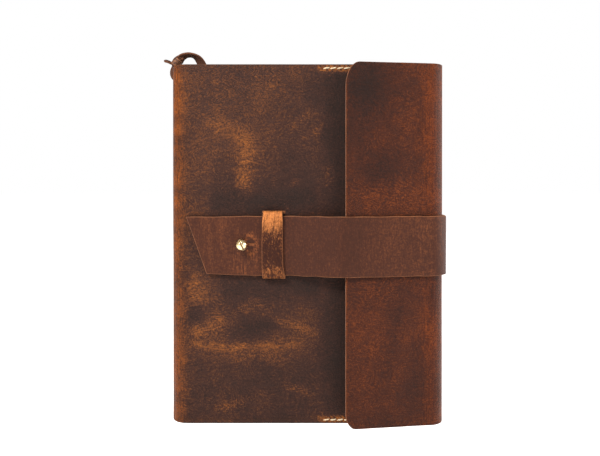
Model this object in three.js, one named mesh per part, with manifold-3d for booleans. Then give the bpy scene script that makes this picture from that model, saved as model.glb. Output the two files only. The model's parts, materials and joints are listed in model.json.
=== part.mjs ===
// Leather notebook cover: one wrap-round leather sheet (front panel, spine, back panel,
// fore-edge wall and front flap), two sewn inner sleeves, a closing strap with a keeper
// loop and a brass ball stud, a knotted bookmark lace, and the notebook that it holds.
// Millimetres. +Z up, the spine at -X, the front faces -Y. It stands on its lower edges.
import * as THREE from 'three';
import { mergeVertices } from 'three/addons/utils/BufferGeometryUtils.js';
import Module from 'manifold-3d';

const wasm = await Module();
wasm.setup();

// ---------------------------------------------------------------- driving dimensions
const HEIGHT = 220;            // cover height, for an A5 notebook (210)
const SPINE_X = -83.8;         // outer face of the spine
const EDGE_X = 83.8;           // outer face of the fore-edge wall
const FACE_Y = 15.5;           // outer faces of the front (-) and back (+) panels
const LEATHER = 2.0;           // cover leather thickness
const R_SPINE = 10;            // outer radius of both spine folds
const R_EDGE = 9;              // outer radius of both fore-edge folds
const FRONT_EDGE_X = 75;       // free edge of the front panel, under the flap
const FOLD_Y = -9.5;           // centre of the front fore-edge fold
const FLAP_SLOPE = 7.5;        // degrees the flap stands away from the front panel
const FLAP_LENGTH = 53.4;      // flat length of the flap past its fold
const GAP = 0.3;               // clearance between pieces that touch
const SLEEVE = 1.2;            // inner sleeve leather
const SLEEVE_X0 = 8;           // open edge of each sleeve pocket
const BOARD = 1.4;             // notebook cover card
const NOTE_X = [-77.5, 70.5];  // A5 width 148
const NOTE_Z = [5, 215];       // A5 height 210
const STRAP = 2.2;             // strap thickness
const STRAP_Z = [91.2, 127.3]; // strap width 36
const STRAP_Y = -17.8;         // strap mid plane where it lies over the front panel
const TIP_X = [-61.0, -73.4];  // strap end, lower and upper corner
const KEEPER_X = [-27.5, -13]; // keeper loop width 14.5
const KEEPER_Z = [89.2, 130.4];
const KEEPER = 1.6;
const STUD = { x: -39.4, z: 110.2, ball: 3.5, neck: 1.9, flange: 4.0 };
const THREAD = 0.8;
const ROW_IN = 2.4;            // stitch rows' distance from the cover's edges
const LACE_W = 5.0;            // bookmark lace width
const LACE_T = 1.2;            // bookmark lace thickness
const SHIFT = [-1.25, 4.68, 0];// puts the origin at the middle of the base

// ---------------------------------------------------------------- small helpers
const rad = (d) => d * Math.PI / 180;
const box = (x, y, z) => {
  const g = new THREE.BoxGeometry(x[1] - x[0], y[1] - y[0], z[1] - z[0]);
  g.translate((x[0] + x[1]) / 2, (y[0] + y[1]) / 2, (z[0] + z[1]) / 2);
  return g;
};
const shape = (pts) => new THREE.Shape(pts.map((p) => new THREE.Vector2(p[0], p[1])));
// outline in X, Y, drawn up in Z
const prismZ = (pts, z) => {
  const g = new THREE.ExtrudeGeometry(shape(pts), { depth: z[1] - z[0], bevelEnabled: false, steps: 1 });
  g.translate(0, 0, z[0]);
  return g;
};
// outline in Y, Z, drawn along X
const prismX = (pts, x) => {
  const g = new THREE.ExtrudeGeometry(shape(pts), { depth: x[1] - x[0], bevelEnabled: false, steps: 1 });
  g.applyMatrix4(new THREE.Matrix4().set(0, 0, 1, x[0], 1, 0, 0, 0, 0, 1, 0, 0, 0, 0, 0, 1));
  return g;
};
// outline in X, Z, drawn along Y from y[0] to y[1]
const prismY = (pts, y) => {
  const g = new THREE.ExtrudeGeometry(shape(pts), { depth: y[1] - y[0], bevelEnabled: false, steps: 1 });
  g.applyMatrix4(new THREE.Matrix4().set(1, 0, 0, 0, 0, 0, -1, y[1], 0, 1, 0, 0, 0, 0, 0, 1));
  return g;
};
const solid = (geometry) => {
  const g = (geometry.index ? geometry.toNonIndexed() : geometry).clone();
  g.deleteAttribute('normal'); g.deleteAttribute('uv');
  const m = mergeVertices(g, 1e-4);
  return new wasm.Manifold(new wasm.Mesh({
    numProp: 3,
    vertProperties: new Float32Array(m.attributes.position.array),
    triVerts: new Uint32Array(m.index.array),
  }));
};
const geometry = (manifold) => {
  const m = manifold.getMesh();
  const g = new THREE.BufferGeometry();
  g.setAttribute('position', new THREE.BufferAttribute(new Float32Array(m.vertProperties), 3));
  g.setIndex(new THREE.BufferAttribute(new Uint32Array(m.triVerts), 1));
  const flat = g.toNonIndexed();
  flat.computeVertexNormals();
  return flat;
};
const cut = (base, ...tools) => geometry(tools.reduce((a, t) => a.subtract(solid(t)), solid(base)));
const join = (...pieces) => geometry(pieces.slice(1).reduce((a, p) => a.add(solid(p)), solid(pieces[0])));
// part of a ring about a vertical axis, angles in degrees
const ring = (cx, cy, r0, r1, a0, a1, z, n = 12) => {
  const pts = [];
  for (let i = 0; i <= n; i++) { const a = rad(a0 + (a1 - a0) * i / n); pts.push([cx + r1 * Math.cos(a), cy + r1 * Math.sin(a)]); }
  for (let i = n; i >= 0; i--) { const a = rad(a0 + (a1 - a0) * i / n); pts.push([cx + r0 * Math.cos(a), cy + r0 * Math.sin(a)]); }
  return prismZ(pts, z);
};
// round pieces about an axis along Y: profile of [radius, distance towards -Y from y0]
const turned = (pts, x, y0, z, n = 20) => {
  const g = new THREE.LatheGeometry(pts.map((p) => new THREE.Vector2(p[0], p[1])), n);
  g.applyMatrix4(new THREE.Matrix4().set(1, 0, 0, x, 0, -1, 0, y0, 0, 0, -1, z, 0, 0, 0, 1));
  return g;
};
// strip of a given thickness along a line of points in X, Y
const strip = (mid, t, z) => {
  const side = (s) => mid.map((p, i) => {
    const a = mid[Math.max(i - 1, 0)], b = mid[Math.min(i + 1, mid.length - 1)];
    const n1 = i > 0 ? norm(a, p) : norm(p, b), n2 = i < mid.length - 1 ? norm(p, b) : norm(a, p);
    const m = [n1[0] + n2[0], n1[1] + n2[1]], k = 2 / (m[0] * m[0] + m[1] * m[1]);
    return [p[0] + s * t / 2 * m[0] * k, p[1] + s * t / 2 * m[1] * k];
  });
  return prismZ([...side(1), ...side(-1).reverse()], z);
};
const norm = (a, b) => { const d = [b[0] - a[0], b[1] - a[1]], l = Math.hypot(d[0], d[1]); return [-d[1] / l, d[0] / l]; };

const group = new THREE.Group();
group.position.set(...SHIFT);
const add = (name, geom, color, roughness, metalness = 0) => {
  const m = new THREE.Mesh(geom, new THREE.MeshStandardMaterial({ color, roughness, metalness }));
  m.name = name;
  group.add(m);
};
const BROWN = 0x5e3527, FLAP = 0x5c3226, STRAPC = 0x63392c, RAW = 0x9a5a35, INNER = 0x6b4028;

// ---------------------------------------------------------------- stitch rows
// A row is one loop of thread: a run outside, a run inside and the two end stitches
// that go through the leather. Its holes are a little wider than the thread.
const H = THREAD / 2, HOLE = THREAD / 2 + GAP;
const rowLoop = (along, at, ends, yOut, yIn) => {
  const s = Math.sign(yOut), o = yOut, i = yIn;
  const y = (a, b) => [Math.min(a, b), Math.max(a, b)];
  const b = (r, q) => along === 'x' ? box(r, q, [at - H, at + H]) : box([at - H, at + H], q, r);
  const P = H - 0.08, pin = (e) => along === 'x' ? box([e - P, e + P], y(o + s * 0.25, i - s * 0.25), [at - P, at + P])
    : box([at - P, at + P], y(o + s * 0.25, i - s * 0.25), [e - P, e + P]);
  return join(
    b([ends[0] - H, ends[1] + H], y(o, o + s * 0.5)),
    pin(ends[0]), pin(ends[1]),
    b([ends[0] - H, ends[1] + H], y(i, i - s * 0.5)));
};
const rowHoles = (along, at, ends, yr) => ends.map((e) => along === 'x'
  ? box([e - HOLE, e + HOLE], yr, [at - HOLE, at + HOLE])
  : box([at - HOLE, at + HOLE], yr, [e - HOLE, e + HOLE]));
const ROWS = [['top', 'x', HEIGHT - ROW_IN, [10, 71.5]], ['bottom', 'x', ROW_IN, [10, 71.5]], ['side', 'z', 73.3, [8, 212]]];
const holesThrough = (yr) => ROWS.flatMap(([, a, at, e]) => rowHoles(a, at, e, yr));

// ---------------------------------------------------------------- the cover sheet
const IN = FACE_Y - LEATHER;
const cSpine = [SPINE_X + R_SPINE, FACE_Y - R_SPINE];
const cEdge = [EDGE_X - R_EDGE, FACE_Y - R_EDGE];
const cFlap = [EDGE_X - R_EDGE, FOLD_Y];
const Z = [0, HEIGHT];
const keeperSlots = [[KEEPER_Z[0] - GAP, KEEPER_Z[0] + KEEPER + GAP], [KEEPER_Z[1] - KEEPER - GAP, KEEPER_Z[1] + GAP]]
  .map((z) => box([KEEPER_X[0] - GAP, KEEPER_X[1] + GAP], [-20, -10], z));
const studHole = turned([[0, 0], [1.6, 0], [1.6, 10], [0, 10]], STUD.x, -10, STUD.z, 16);
add('front_panel', cut(box([cSpine[0] + GAP / 2, FRONT_EDGE_X], [-FACE_Y, -IN], Z),
  studHole, ...keeperSlots, ...holesThrough([-20, -10])), BROWN, 0.5);
add('front_fold', ring(cSpine[0], -cSpine[1], R_SPINE - LEATHER, R_SPINE, 181, 269, Z), BROWN, 0.5);
add('spine_panel', cut(box([SPINE_X, SPINE_X + LEATHER], [-cSpine[1] + GAP / 2, cSpine[1] - GAP / 2], Z),
  box([SPINE_X - 2, SPINE_X + 4], [-2.3, 2.3], [211.7, 214.5])), BROWN, 0.5);
add('back_fold', ring(cSpine[0], cSpine[1], R_SPINE - LEATHER, R_SPINE, 91, 179, Z), BROWN, 0.5);
const ANCHOR = { x: [22, 50], z: [96.5, 122] };
const anchorHoles = (yr) => ANCHOR.x.flatMap((x) => ANCHOR.z.map((z) => box([x - HOLE, x + HOLE], yr, [z - HOLE, z + HOLE])));
add('back_panel', cut(box([cSpine[0] + GAP / 2, cEdge[0] - GAP / 2], [IN, FACE_Y], Z),
  ...holesThrough([10, 20]), ...anchorHoles([10, 20])), BROWN, 0.5);
add('fore_edge_back_fold', ring(cEdge[0], cEdge[1], R_EDGE - LEATHER, R_EDGE, 1, 89, Z), BROWN, 0.5);
add('fore_edge_wall', box([EDGE_X - LEATHER, EDGE_X], [FOLD_Y + GAP / 2, cEdge[1] - GAP / 2], Z), BROWN, 0.5);
const TURN = 90 - FLAP_SLOPE;
add('flap_fold', ring(cFlap[0], cFlap[1], R_EDGE - LEATHER, R_EDGE, -1, -TURN + 1, Z), FLAP, 0.5);
// the flap lies along u from the end of its fold; n points out of its face
const u = [-Math.cos(rad(FLAP_SLOPE)), -Math.sin(rad(FLAP_SLOPE))];
const n = [Math.cos(rad(-TURN)), Math.sin(rad(-TURN))];
const at = (r, s) => [cFlap[0] + r * n[0] + s * u[0], cFlap[1] + r * n[1] + s * u[1]];
{
  const pts = [[0.15, 0]];
  for (let i = 0; i <= 6; i++) { const a = rad(90 * i / 6); pts.push([FLAP_LENGTH - 6.5 + 6.5 * Math.sin(a), 9 - 9 * Math.cos(a)]); }
  for (let i = 0; i <= 6; i++) { const a = rad(90 * i / 6); pts.push([FLAP_LENGTH - 8.5 + 8.5 * Math.cos(a), HEIGHT - 15 + 15 * Math.sin(a)]); }
  pts.push([0.15, HEIGHT]);
  const g = new THREE.ExtrudeGeometry(shape(pts), { depth: LEATHER, bevelEnabled: false, steps: 1 });
  // s along u, z up, thickness out along n
  const o = at(R_EDGE - LEATHER, 0);
  const m = new THREE.Matrix4().set(u[0], 0, n[0], o[0], u[1], 0, n[1], o[1], 0, 1, 0, 0, 0, 0, 0, 1);
  g.applyMatrix4(m);
  if (m.determinant() < 0) {
    const p = g.attributes.position;
    for (let i = 0; i < p.count; i += 3) for (let k = 0; k < 3; k++) {
      const t = p.getComponent(i + 1, k); p.setComponent(i + 1, k, p.getComponent(i + 2, k)); p.setComponent(i + 2, k, t);
    }
    g.computeVertexNormals();
  }
  add('flap_panel', g, FLAP, 0.5);
}

// ---------------------------------------------------------------- inner sleeves
// A sleeve is sewn down on three sides and stands off the panel to hold the card.
const sleeve = (s, yFlange, yPlate, xEnd) => {
  const y = (a, b) => [Math.min(s * a, s * b), Math.max(s * a, s * b)];
  const all = box([SLEEVE_X0, xEnd], y(yPlate - SLEEVE, yFlange), Z);
  const pocket = box([SLEEVE_X0 - 5, 70.8], y(yPlate, yFlange + 5), [4.7, 215.3]);
  const step = y(yPlate - 5, yFlange - SLEEVE);
  return cut(all, pocket,
    box([SLEEVE_X0 - 5, xEnd + 5], step, [-5, 3.5]),
    box([SLEEVE_X0 - 5, xEnd + 5], step, [216.5, HEIGHT + 5]),
    box([72.0, xEnd + 5], step, [-5, HEIGHT + 5]),
    ...holesThrough(y(yPlate, yFlange + 1)));
};
add('front_sleeve', sleeve(-1, IN - GAP, 10.2, FRONT_EDGE_X), INNER, 0.7);
add('back_sleeve', sleeve(1, IN - GAP, 10.7, 74.6), INNER, 0.7);
for (const [name, along, where, ends] of ROWS) {
  add(`thread_front_${name}`, rowLoop(along, where, ends, -(FACE_Y + 0.15), -(IN - GAP - SLEEVE - GAP)), 0xe6d3b0, 0.8);
  add(`thread_back_${name}`, rowLoop(along, where, ends, FACE_Y + 0.15, IN - GAP - SLEEVE - GAP), 0xe6d3b0, 0.8);
}

// ---------------------------------------------------------------- notebook
add('notebook_front_card', box(NOTE_X, [-11.9, -11.9 + BOARD], NOTE_Z), 0x8a6a48, 0.8);
add('notebook_back_card', box(NOTE_X, [12.4 - BOARD, 12.4], NOTE_Z), 0x8a6a48, 0.8);
add('notebook_spine', box([-79.3, -78.5], [-9.8, 10.4], NOTE_Z), 0x8a6a48, 0.8);
add('pages_front', box([-77.5, 70.2], [-8.7, -0.9], [5.5, 214.5]), 0xefe6d2, 0.9);
add('pages_back', box([-77.5, 70.2], [0.9, 9.2], [5.5, 214.5]), 0xefe6d2, 0.9);

// ---------------------------------------------------------------- strap
const rS0 = R_EDGE + GAP, rS1 = R_EDGE + GAP + STRAP, rSm = (rS0 + rS1) / 2;
const yA = [FACE_Y + GAP, FACE_Y + GAP + STRAP];
// its under side has a groove that clears the back sleeve's upright stitch row
add('strap_anchor', cut(box([16, cEdge[0] - GAP / 2], yA, STRAP_Z), ...anchorHoles([12, 22]),
  box([72.6, 74.0], [FACE_Y, FACE_Y + 1.0], [80, 140])), STRAPC, 0.45);
{
  const frame = (y, o) => cut(box([ANCHOR.x[0] - o, ANCHOR.x[1] + o], y, [ANCHOR.z[0] - o, ANCHOR.z[1] + o]),
    box([ANCHOR.x[0] + o, ANCHOR.x[1] - o], [y[0] - 2, y[1] + 2], [ANCHOR.z[0] + o, ANCHOR.z[1] - o]));
  add('thread_strap_anchor', join(frame([yA[1] + 0.15, yA[1] + 0.65], H), frame([12.7, 13.2], H),
    ...ANCHOR.x.flatMap((x) => ANCHOR.z.map((z) => box([x - H + 0.08, x + H - 0.08], [12.9, yA[1] + 0.4], [z - H + 0.08, z + H - 0.08])))), 0xe6d3b0, 0.8);
}
add('strap_back_fold', ring(cEdge[0], cEdge[1], rS0, rS1, 1, 89, STRAP_Z), STRAPC, 0.45);
add('strap_side', box([EDGE_X + GAP, EDGE_X + GAP + STRAP], [FOLD_Y + GAP / 2, cEdge[1] - GAP / 2], STRAP_Z), STRAPC, 0.45);
add('strap_front_fold', ring(cFlap[0], cFlap[1], rS0, rS1, -1, -TURN + 1, STRAP_Z), STRAPC, 0.45);
add('strap_front', strip([at(rSm, 0.15), at(rSm, FLAP_LENGTH + 1), [19, -26.9], [13, -25.1], [-5, -19.2], [-10, STRAP_Y], [KEEPER_X[0] + 0.15, STRAP_Y]],
  STRAP, STRAP_Z), STRAPC, 0.45);
const yS = [STRAP_Y - STRAP / 2, STRAP_Y + STRAP / 2];
add('strap_tip', cut(prismY([[KEEPER_X[0] - 0.15, STRAP_Z[0]], [KEEPER_X[0] - 0.15, STRAP_Z[1]], [TIP_X[1], STRAP_Z[1]], [TIP_X[0], STRAP_Z[0]]], yS),
  turned([[0, 0], [2.3, 0], [2.3, 10], [0, 10]], STUD.x, -13, STUD.z, 16),
  box([STUD.x, STUD.x + 8.4], [-25, -10], [STUD.z - 0.3, STUD.z + 0.3])), STRAPC, 0.45);

// keeper loop: over the strap, through two slots, its skived ends folded in behind the panel
{
  const y0 = -21.0, y1 = y0 + KEEPER, [z0, z1] = KEEPER_Z, t = KEEPER, yi = -12.2, yp = -13.2;
  add('keeper_loop', prismX([[y0, z0], [yi, z0], [yi, z0 + 12], [yp, z0 + 12], [yp, z0 + t], [y1, z0 + t],
    [y1, z1 - t], [yp, z1 - t], [yp, z1 - 12], [yi, z1 - 12], [yi, z1], [y0, z1]], KEEPER_X), 0xa9673a, 0.5);
}

// ---------------------------------------------------------------- ball stud
{
  const yb = -(FACE_Y + GAP), pts = [[0, 4.2], [1.5, 4.2], [1.5, 0], [STUD.flange, 0], [STUD.flange, 0.6], [STUD.neck, 0.7]];
  const c = 6.65, a0 = Math.asin(STUD.neck / STUD.ball);
  for (let i = 0; i <= 9; i++) { const a = Math.PI - a0 - (Math.PI - a0) * i / 9; pts.push([i === 9 ? 0 : STUD.ball * Math.sin(a), c + STUD.ball * Math.cos(a)]); }
  add('stud_head', turned(pts, STUD.x, yb, STUD.z, 24), 0xd8b45c, 0.2, 1);
  add('stud_screw', cut(turned([[0, 0], [4.3, 0], [4.3, 1.0], [1.2, 1.0], [1.2, 7.4], [0, 7.4]], STUD.x, -12.2, STUD.z, 24),
    box([STUD.x - 6, STUD.x + 6], [-12.7, -11], [STUD.z - 0.5, STUD.z + 0.5])), 0xb89648, 0.3, 1);
}

// ---------------------------------------------------------------- bookmark lace
// ribbon of a given width along points in X, Z
const ribbon = (mid, w, y) => {
  const left = [], right = [];
  mid.forEach((p, i) => {
    const a = mid[Math.max(i - 1, 0)], b = mid[Math.min(i + 1, mid.length - 1)], q = norm(a, b);
    left.push([p[0] + w / 2 * q[0], p[1] + w / 2 * q[1]]); right.push([p[0] - w / 2 * q[0], p[1] - w / 2 * q[1]]);
  });
  return prismY([...left, ...right.reverse()], y);
};
const curve = (pts, k) => new THREE.CatmullRomCurve3(pts.map((p) => new THREE.Vector3(p[0], p[1], 0)), false, 'centripetal').getSpacedPoints(k).map((v) => [v.x, v.y]);
// short loop: down the outside of the spine, in through its hole, up the inside
add('lace_loop', ribbon(curve([[-84.6, 220.9], [-85.8, 218.8], [-86.4, 216.6], [-86.0, 214.8], [-84.6, 213.3], [-82.6, 213.05], [-81.1, 214.0],
  [-80.7, 216.0], [-80.7, 218.5], [-80.9, 220.9]], 24), LACE_T * 0.8, [-1.8, 1.8]), RAW, 0.6);
{
  const ball = new THREE.SphereGeometry(1, 14, 10);
  ball.scale(3.4, 2.8, 2.9); ball.translate(-82.9, 0, 224.3);
  const tail = ribbon([[-84.5, 223.4], [-87.4, 223.9], [-90.4, 225.1]], 1.4, [-1.1, 1.1]);
  add('lace_knot', join(ball, tail), RAW, 0.6);
}
add('bookmark_lace', ribbon(curve([[-79.3, 226.2], [-77.9, 227.5], [-75.6, 228.3], [-73.0, 227.9], [-70.6, 226.2], [-68.7, 223.4], [-67.2, 219.4], [-65.6, 211],
  [-62.6, 190], [-60.5, 150], [-59.5, 100], [-59.2, 60], [-59.2, 22]], 60), LACE_W, [-LACE_T / 2, LACE_T / 2]), RAW, 0.6);

export default group;
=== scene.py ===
"""Looks of the leather notebook cover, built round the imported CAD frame."""
import json
import math

import bpy
import bmesh
import numpy as np
from mathutils import Vector
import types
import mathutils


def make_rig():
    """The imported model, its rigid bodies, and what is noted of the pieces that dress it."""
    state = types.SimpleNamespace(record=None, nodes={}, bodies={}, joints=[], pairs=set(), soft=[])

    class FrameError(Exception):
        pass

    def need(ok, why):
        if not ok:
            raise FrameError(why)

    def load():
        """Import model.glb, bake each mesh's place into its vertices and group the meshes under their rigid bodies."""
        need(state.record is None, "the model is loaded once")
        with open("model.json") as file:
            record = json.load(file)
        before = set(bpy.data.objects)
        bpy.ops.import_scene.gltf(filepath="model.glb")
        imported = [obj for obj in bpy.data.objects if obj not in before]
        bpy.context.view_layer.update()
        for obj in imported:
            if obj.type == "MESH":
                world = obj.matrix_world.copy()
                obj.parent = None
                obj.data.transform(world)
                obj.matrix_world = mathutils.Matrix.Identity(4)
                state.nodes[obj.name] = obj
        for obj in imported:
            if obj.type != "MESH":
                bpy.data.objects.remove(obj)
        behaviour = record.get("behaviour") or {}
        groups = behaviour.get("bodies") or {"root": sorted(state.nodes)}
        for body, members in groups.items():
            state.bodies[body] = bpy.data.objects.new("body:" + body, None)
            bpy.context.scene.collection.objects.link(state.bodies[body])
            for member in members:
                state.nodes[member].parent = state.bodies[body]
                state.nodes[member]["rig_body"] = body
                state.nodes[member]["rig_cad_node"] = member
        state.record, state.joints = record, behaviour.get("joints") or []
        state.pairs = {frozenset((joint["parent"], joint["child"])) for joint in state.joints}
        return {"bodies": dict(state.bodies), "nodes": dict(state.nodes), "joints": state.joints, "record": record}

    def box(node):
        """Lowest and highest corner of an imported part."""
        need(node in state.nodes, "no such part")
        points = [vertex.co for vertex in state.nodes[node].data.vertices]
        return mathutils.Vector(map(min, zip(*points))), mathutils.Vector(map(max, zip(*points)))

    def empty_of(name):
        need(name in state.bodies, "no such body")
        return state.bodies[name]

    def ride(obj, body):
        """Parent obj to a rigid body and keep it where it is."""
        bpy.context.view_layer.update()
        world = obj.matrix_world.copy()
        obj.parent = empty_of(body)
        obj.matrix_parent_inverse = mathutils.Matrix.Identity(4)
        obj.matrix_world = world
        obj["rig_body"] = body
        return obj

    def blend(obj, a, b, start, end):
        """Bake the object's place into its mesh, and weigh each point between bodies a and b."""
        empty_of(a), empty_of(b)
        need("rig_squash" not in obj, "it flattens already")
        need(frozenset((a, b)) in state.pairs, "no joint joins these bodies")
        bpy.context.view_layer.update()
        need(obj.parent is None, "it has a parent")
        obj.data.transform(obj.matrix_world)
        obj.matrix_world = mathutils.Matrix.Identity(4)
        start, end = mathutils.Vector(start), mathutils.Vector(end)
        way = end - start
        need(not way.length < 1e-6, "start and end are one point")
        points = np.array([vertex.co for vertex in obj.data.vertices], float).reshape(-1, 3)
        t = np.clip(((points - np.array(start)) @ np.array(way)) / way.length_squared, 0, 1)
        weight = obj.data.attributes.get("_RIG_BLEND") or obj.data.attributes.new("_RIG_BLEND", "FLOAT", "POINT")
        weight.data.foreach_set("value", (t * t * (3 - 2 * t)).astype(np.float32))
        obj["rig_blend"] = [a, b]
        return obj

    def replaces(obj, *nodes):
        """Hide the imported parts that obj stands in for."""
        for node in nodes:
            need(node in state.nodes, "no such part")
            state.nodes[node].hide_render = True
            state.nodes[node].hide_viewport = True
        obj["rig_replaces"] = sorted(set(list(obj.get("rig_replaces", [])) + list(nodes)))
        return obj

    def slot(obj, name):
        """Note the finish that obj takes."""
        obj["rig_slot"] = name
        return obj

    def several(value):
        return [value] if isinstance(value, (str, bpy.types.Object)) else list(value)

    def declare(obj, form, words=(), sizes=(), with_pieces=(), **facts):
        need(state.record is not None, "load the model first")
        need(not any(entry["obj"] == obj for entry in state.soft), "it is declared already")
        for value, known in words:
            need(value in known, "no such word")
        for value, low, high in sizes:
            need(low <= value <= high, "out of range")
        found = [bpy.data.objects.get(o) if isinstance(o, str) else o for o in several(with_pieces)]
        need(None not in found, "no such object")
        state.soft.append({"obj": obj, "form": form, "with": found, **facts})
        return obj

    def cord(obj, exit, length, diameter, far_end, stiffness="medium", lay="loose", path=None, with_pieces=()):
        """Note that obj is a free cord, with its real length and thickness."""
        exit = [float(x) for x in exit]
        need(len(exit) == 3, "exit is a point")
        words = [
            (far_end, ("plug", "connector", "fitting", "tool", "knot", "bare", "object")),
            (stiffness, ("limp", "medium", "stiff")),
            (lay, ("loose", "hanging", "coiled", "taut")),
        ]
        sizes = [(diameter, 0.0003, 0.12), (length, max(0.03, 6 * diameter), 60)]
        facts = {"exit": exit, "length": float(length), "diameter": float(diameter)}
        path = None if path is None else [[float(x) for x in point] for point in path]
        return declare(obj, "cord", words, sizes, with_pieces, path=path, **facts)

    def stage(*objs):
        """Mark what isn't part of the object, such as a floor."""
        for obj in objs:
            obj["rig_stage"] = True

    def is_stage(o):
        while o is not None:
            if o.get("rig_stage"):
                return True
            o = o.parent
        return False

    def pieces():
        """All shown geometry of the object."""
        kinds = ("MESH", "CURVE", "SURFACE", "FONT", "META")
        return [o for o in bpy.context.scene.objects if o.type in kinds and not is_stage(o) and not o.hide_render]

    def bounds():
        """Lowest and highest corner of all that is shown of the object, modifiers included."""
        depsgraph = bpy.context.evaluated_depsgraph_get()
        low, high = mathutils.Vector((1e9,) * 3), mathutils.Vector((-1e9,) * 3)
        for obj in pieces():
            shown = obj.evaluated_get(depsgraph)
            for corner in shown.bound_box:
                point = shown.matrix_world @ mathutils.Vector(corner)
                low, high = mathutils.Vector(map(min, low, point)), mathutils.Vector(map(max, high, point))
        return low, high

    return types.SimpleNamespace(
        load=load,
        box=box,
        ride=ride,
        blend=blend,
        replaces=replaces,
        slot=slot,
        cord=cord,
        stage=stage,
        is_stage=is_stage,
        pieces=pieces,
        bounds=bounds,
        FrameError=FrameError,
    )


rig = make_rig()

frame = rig.load()
BOX0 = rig.bounds()
NODES = frame["nodes"]

# ------------------------------------------------------------------ design frame
# Everything below is worked out in millimetres in the part's design frame (spine at -X,
# front at -Y, mid plane Y = 0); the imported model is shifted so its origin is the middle
# of the base. The shift is read from the frame itself.
lo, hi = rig.box("front_panel")
DX = hi.x * 1000 - 75.0
DY = lo.y * 1000 + 15.5
HEIGHT = hi.z * 1000


def M(p):
    """design millimetres -> row frame metres"""
    p = np.asarray(p, float)
    q = p.copy()
    q[..., 0] += DX
    q[..., 1] += DY
    return q / 1000.0


# ------------------------------------------------------------------ camera
cam_data = bpy.data.cameras.new("camera")
cam = bpy.data.objects.new("camera", cam_data)
bpy.context.scene.collection.objects.link(cam)
F_PX, CAM_D, CAM_X, CAM_Z, PITCH, SHIFT_PX = 600.0, 382.5, -4.30, 149.0, 0.26, 45.0
cam_data.sensor_width = 36.0
cam_data.lens = 36.0 * F_PX / 600.0
cam_data.shift_y = -SHIFT_PX / 600.0
cam.location = Vector(M([CAM_X, -CAM_D, CAM_Z]))
cam.rotation_euler = (math.radians(90 - PITCH), 0, 0)
cam_data.clip_start, cam_data.clip_end = 0.01, 20
bpy.context.scene.camera = cam

# ------------------------------------------------------------------ numeric helpers


def smooth(t):
    t = np.clip(t, 0, 1)
    return t * t * (3 - 2 * t)


def waves(a, b, seed, lo_len, hi_len, n=14):
    """A soft random surface of about unit height over two coordinates in mm."""
    r = np.random.RandomState(seed)
    out = np.zeros(np.broadcast(a, b).shape)
    for _ in range(n):
        length = lo_len * (hi_len / lo_len) ** r.rand()
        ang = r.rand() * 2 * math.pi
        k = 2 * math.pi / length
        out = out + np.sin(k * (a * math.cos(ang) + b * math.sin(ang)) + r.rand() * 2 * math.pi)
    return out / math.sqrt(n)


def seg_dist(x, z, pts):
    """Distance from (x, z) to a polyline, and how far along it (0 to 1)."""
    best = np.full(np.shape(x), 1e9)
    along = np.zeros(np.shape(x))
    total = sum(math.dist(pts[i], pts[i + 1]) for i in range(len(pts) - 1))
    run = 0.0
    for (ax, az), (bx, bz) in zip(pts[:-1], pts[1:]):
        dx, dz = bx - ax, bz - az
        ll = dx * dx + dz * dz
        t = np.clip(((x - ax) * dx + (z - az) * dz) / ll, 0, 1)
        d = np.hypot(x - ax - t * dx, z - az - t * dz)
        near = d < best
        along = np.where(near, (run + t * math.sqrt(ll)) / total, along)
        best = np.where(near, d, best)
        run += math.sqrt(ll)
    return best, along


def stroke(x, z, pts, width, taper=0.25):
    """Soft brush stroke along a polyline, 0 to 1."""
    d, t = seg_dist(x, z, pts)
    w = np.exp(-((d / width) ** 2))
    end = smooth(t / taper) * smooth((1 - t) / taper) if taper > 0 else 1.0
    return w * (0.15 + 0.85 * end)


def new_object(name, mesh):
    o = bpy.data.objects.new(name, mesh)
    bpy.context.scene.collection.objects.link(o)
    return o


def build(name, verts_mm, faces, attrs=None, mats=(), smooth_shade=True, face_mat=None):
    mesh = bpy.data.meshes.new(name)
    v = M(np.asarray(verts_mm, float))
    mesh.from_pydata(v.tolist(), [], faces)
    bm = bmesh.new()
    bm.from_mesh(mesh)
    bmesh.ops.recalc_face_normals(bm, faces=bm.faces)
    bm.to_mesh(mesh)
    bm.free()
    for key, val in (attrs or {}).items():
        val = np.asarray(val, np.float32)
        if val.ndim == 2:
            a = mesh.attributes.new(key, "FLOAT_VECTOR", "POINT")
            a.data.foreach_set("vector", val.ravel())
        else:
            a = mesh.attributes.new(key, "FLOAT", "POINT")
            a.data.foreach_set("value", val)
    for m in mats:
        mesh.materials.append(m)
    if face_mat is not None:
        mesh.polygons.foreach_set("material_index", np.asarray(face_mat, np.int32))
    mesh.polygons.foreach_set("use_smooth", np.full(len(mesh.polygons), smooth_shade))
    mesh.update()
    return new_object(name, mesh)


# ------------------------------------------------------------------ plan-view paths


class Path:
    """A line in plan (X, Y) by its length, with the normal that points out of the cover."""

    def __init__(self, pts, flip=1.0):
        p = np.asarray(pts, float)
        seg = np.hypot(*(p[1:] - p[:-1]).T)
        keep = np.concatenate([[True], seg > 1e-6])
        p = p[keep]
        seg = np.hypot(*(p[1:] - p[:-1]).T)
        self.s = np.concatenate([[0], np.cumsum(seg)])
        self.p = p
        t = np.gradient(p, self.s, axis=0)
        t /= np.linalg.norm(t, axis=1)[:, None]
        self.n = np.stack([t[:, 1], -t[:, 0]], 1) * flip
        self.length = self.s[-1]

    def pos(self, s):
        return np.stack([np.interp(s, self.s, self.p[:, 0]), np.interp(s, self.s, self.p[:, 1])], -1)

    def nrm(self, s):
        n = np.stack([np.interp(s, self.s, self.n[:, 0]), np.interp(s, self.s, self.n[:, 1])], -1)
        return n / np.linalg.norm(n, axis=-1)[..., None]


def arc(cx, cy, r, a0, a1, n=40):
    a = np.radians(np.linspace(a0, a1, n))
    return np.stack([cx + r * np.cos(a), cy + r * np.sin(a)], 1)


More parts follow.
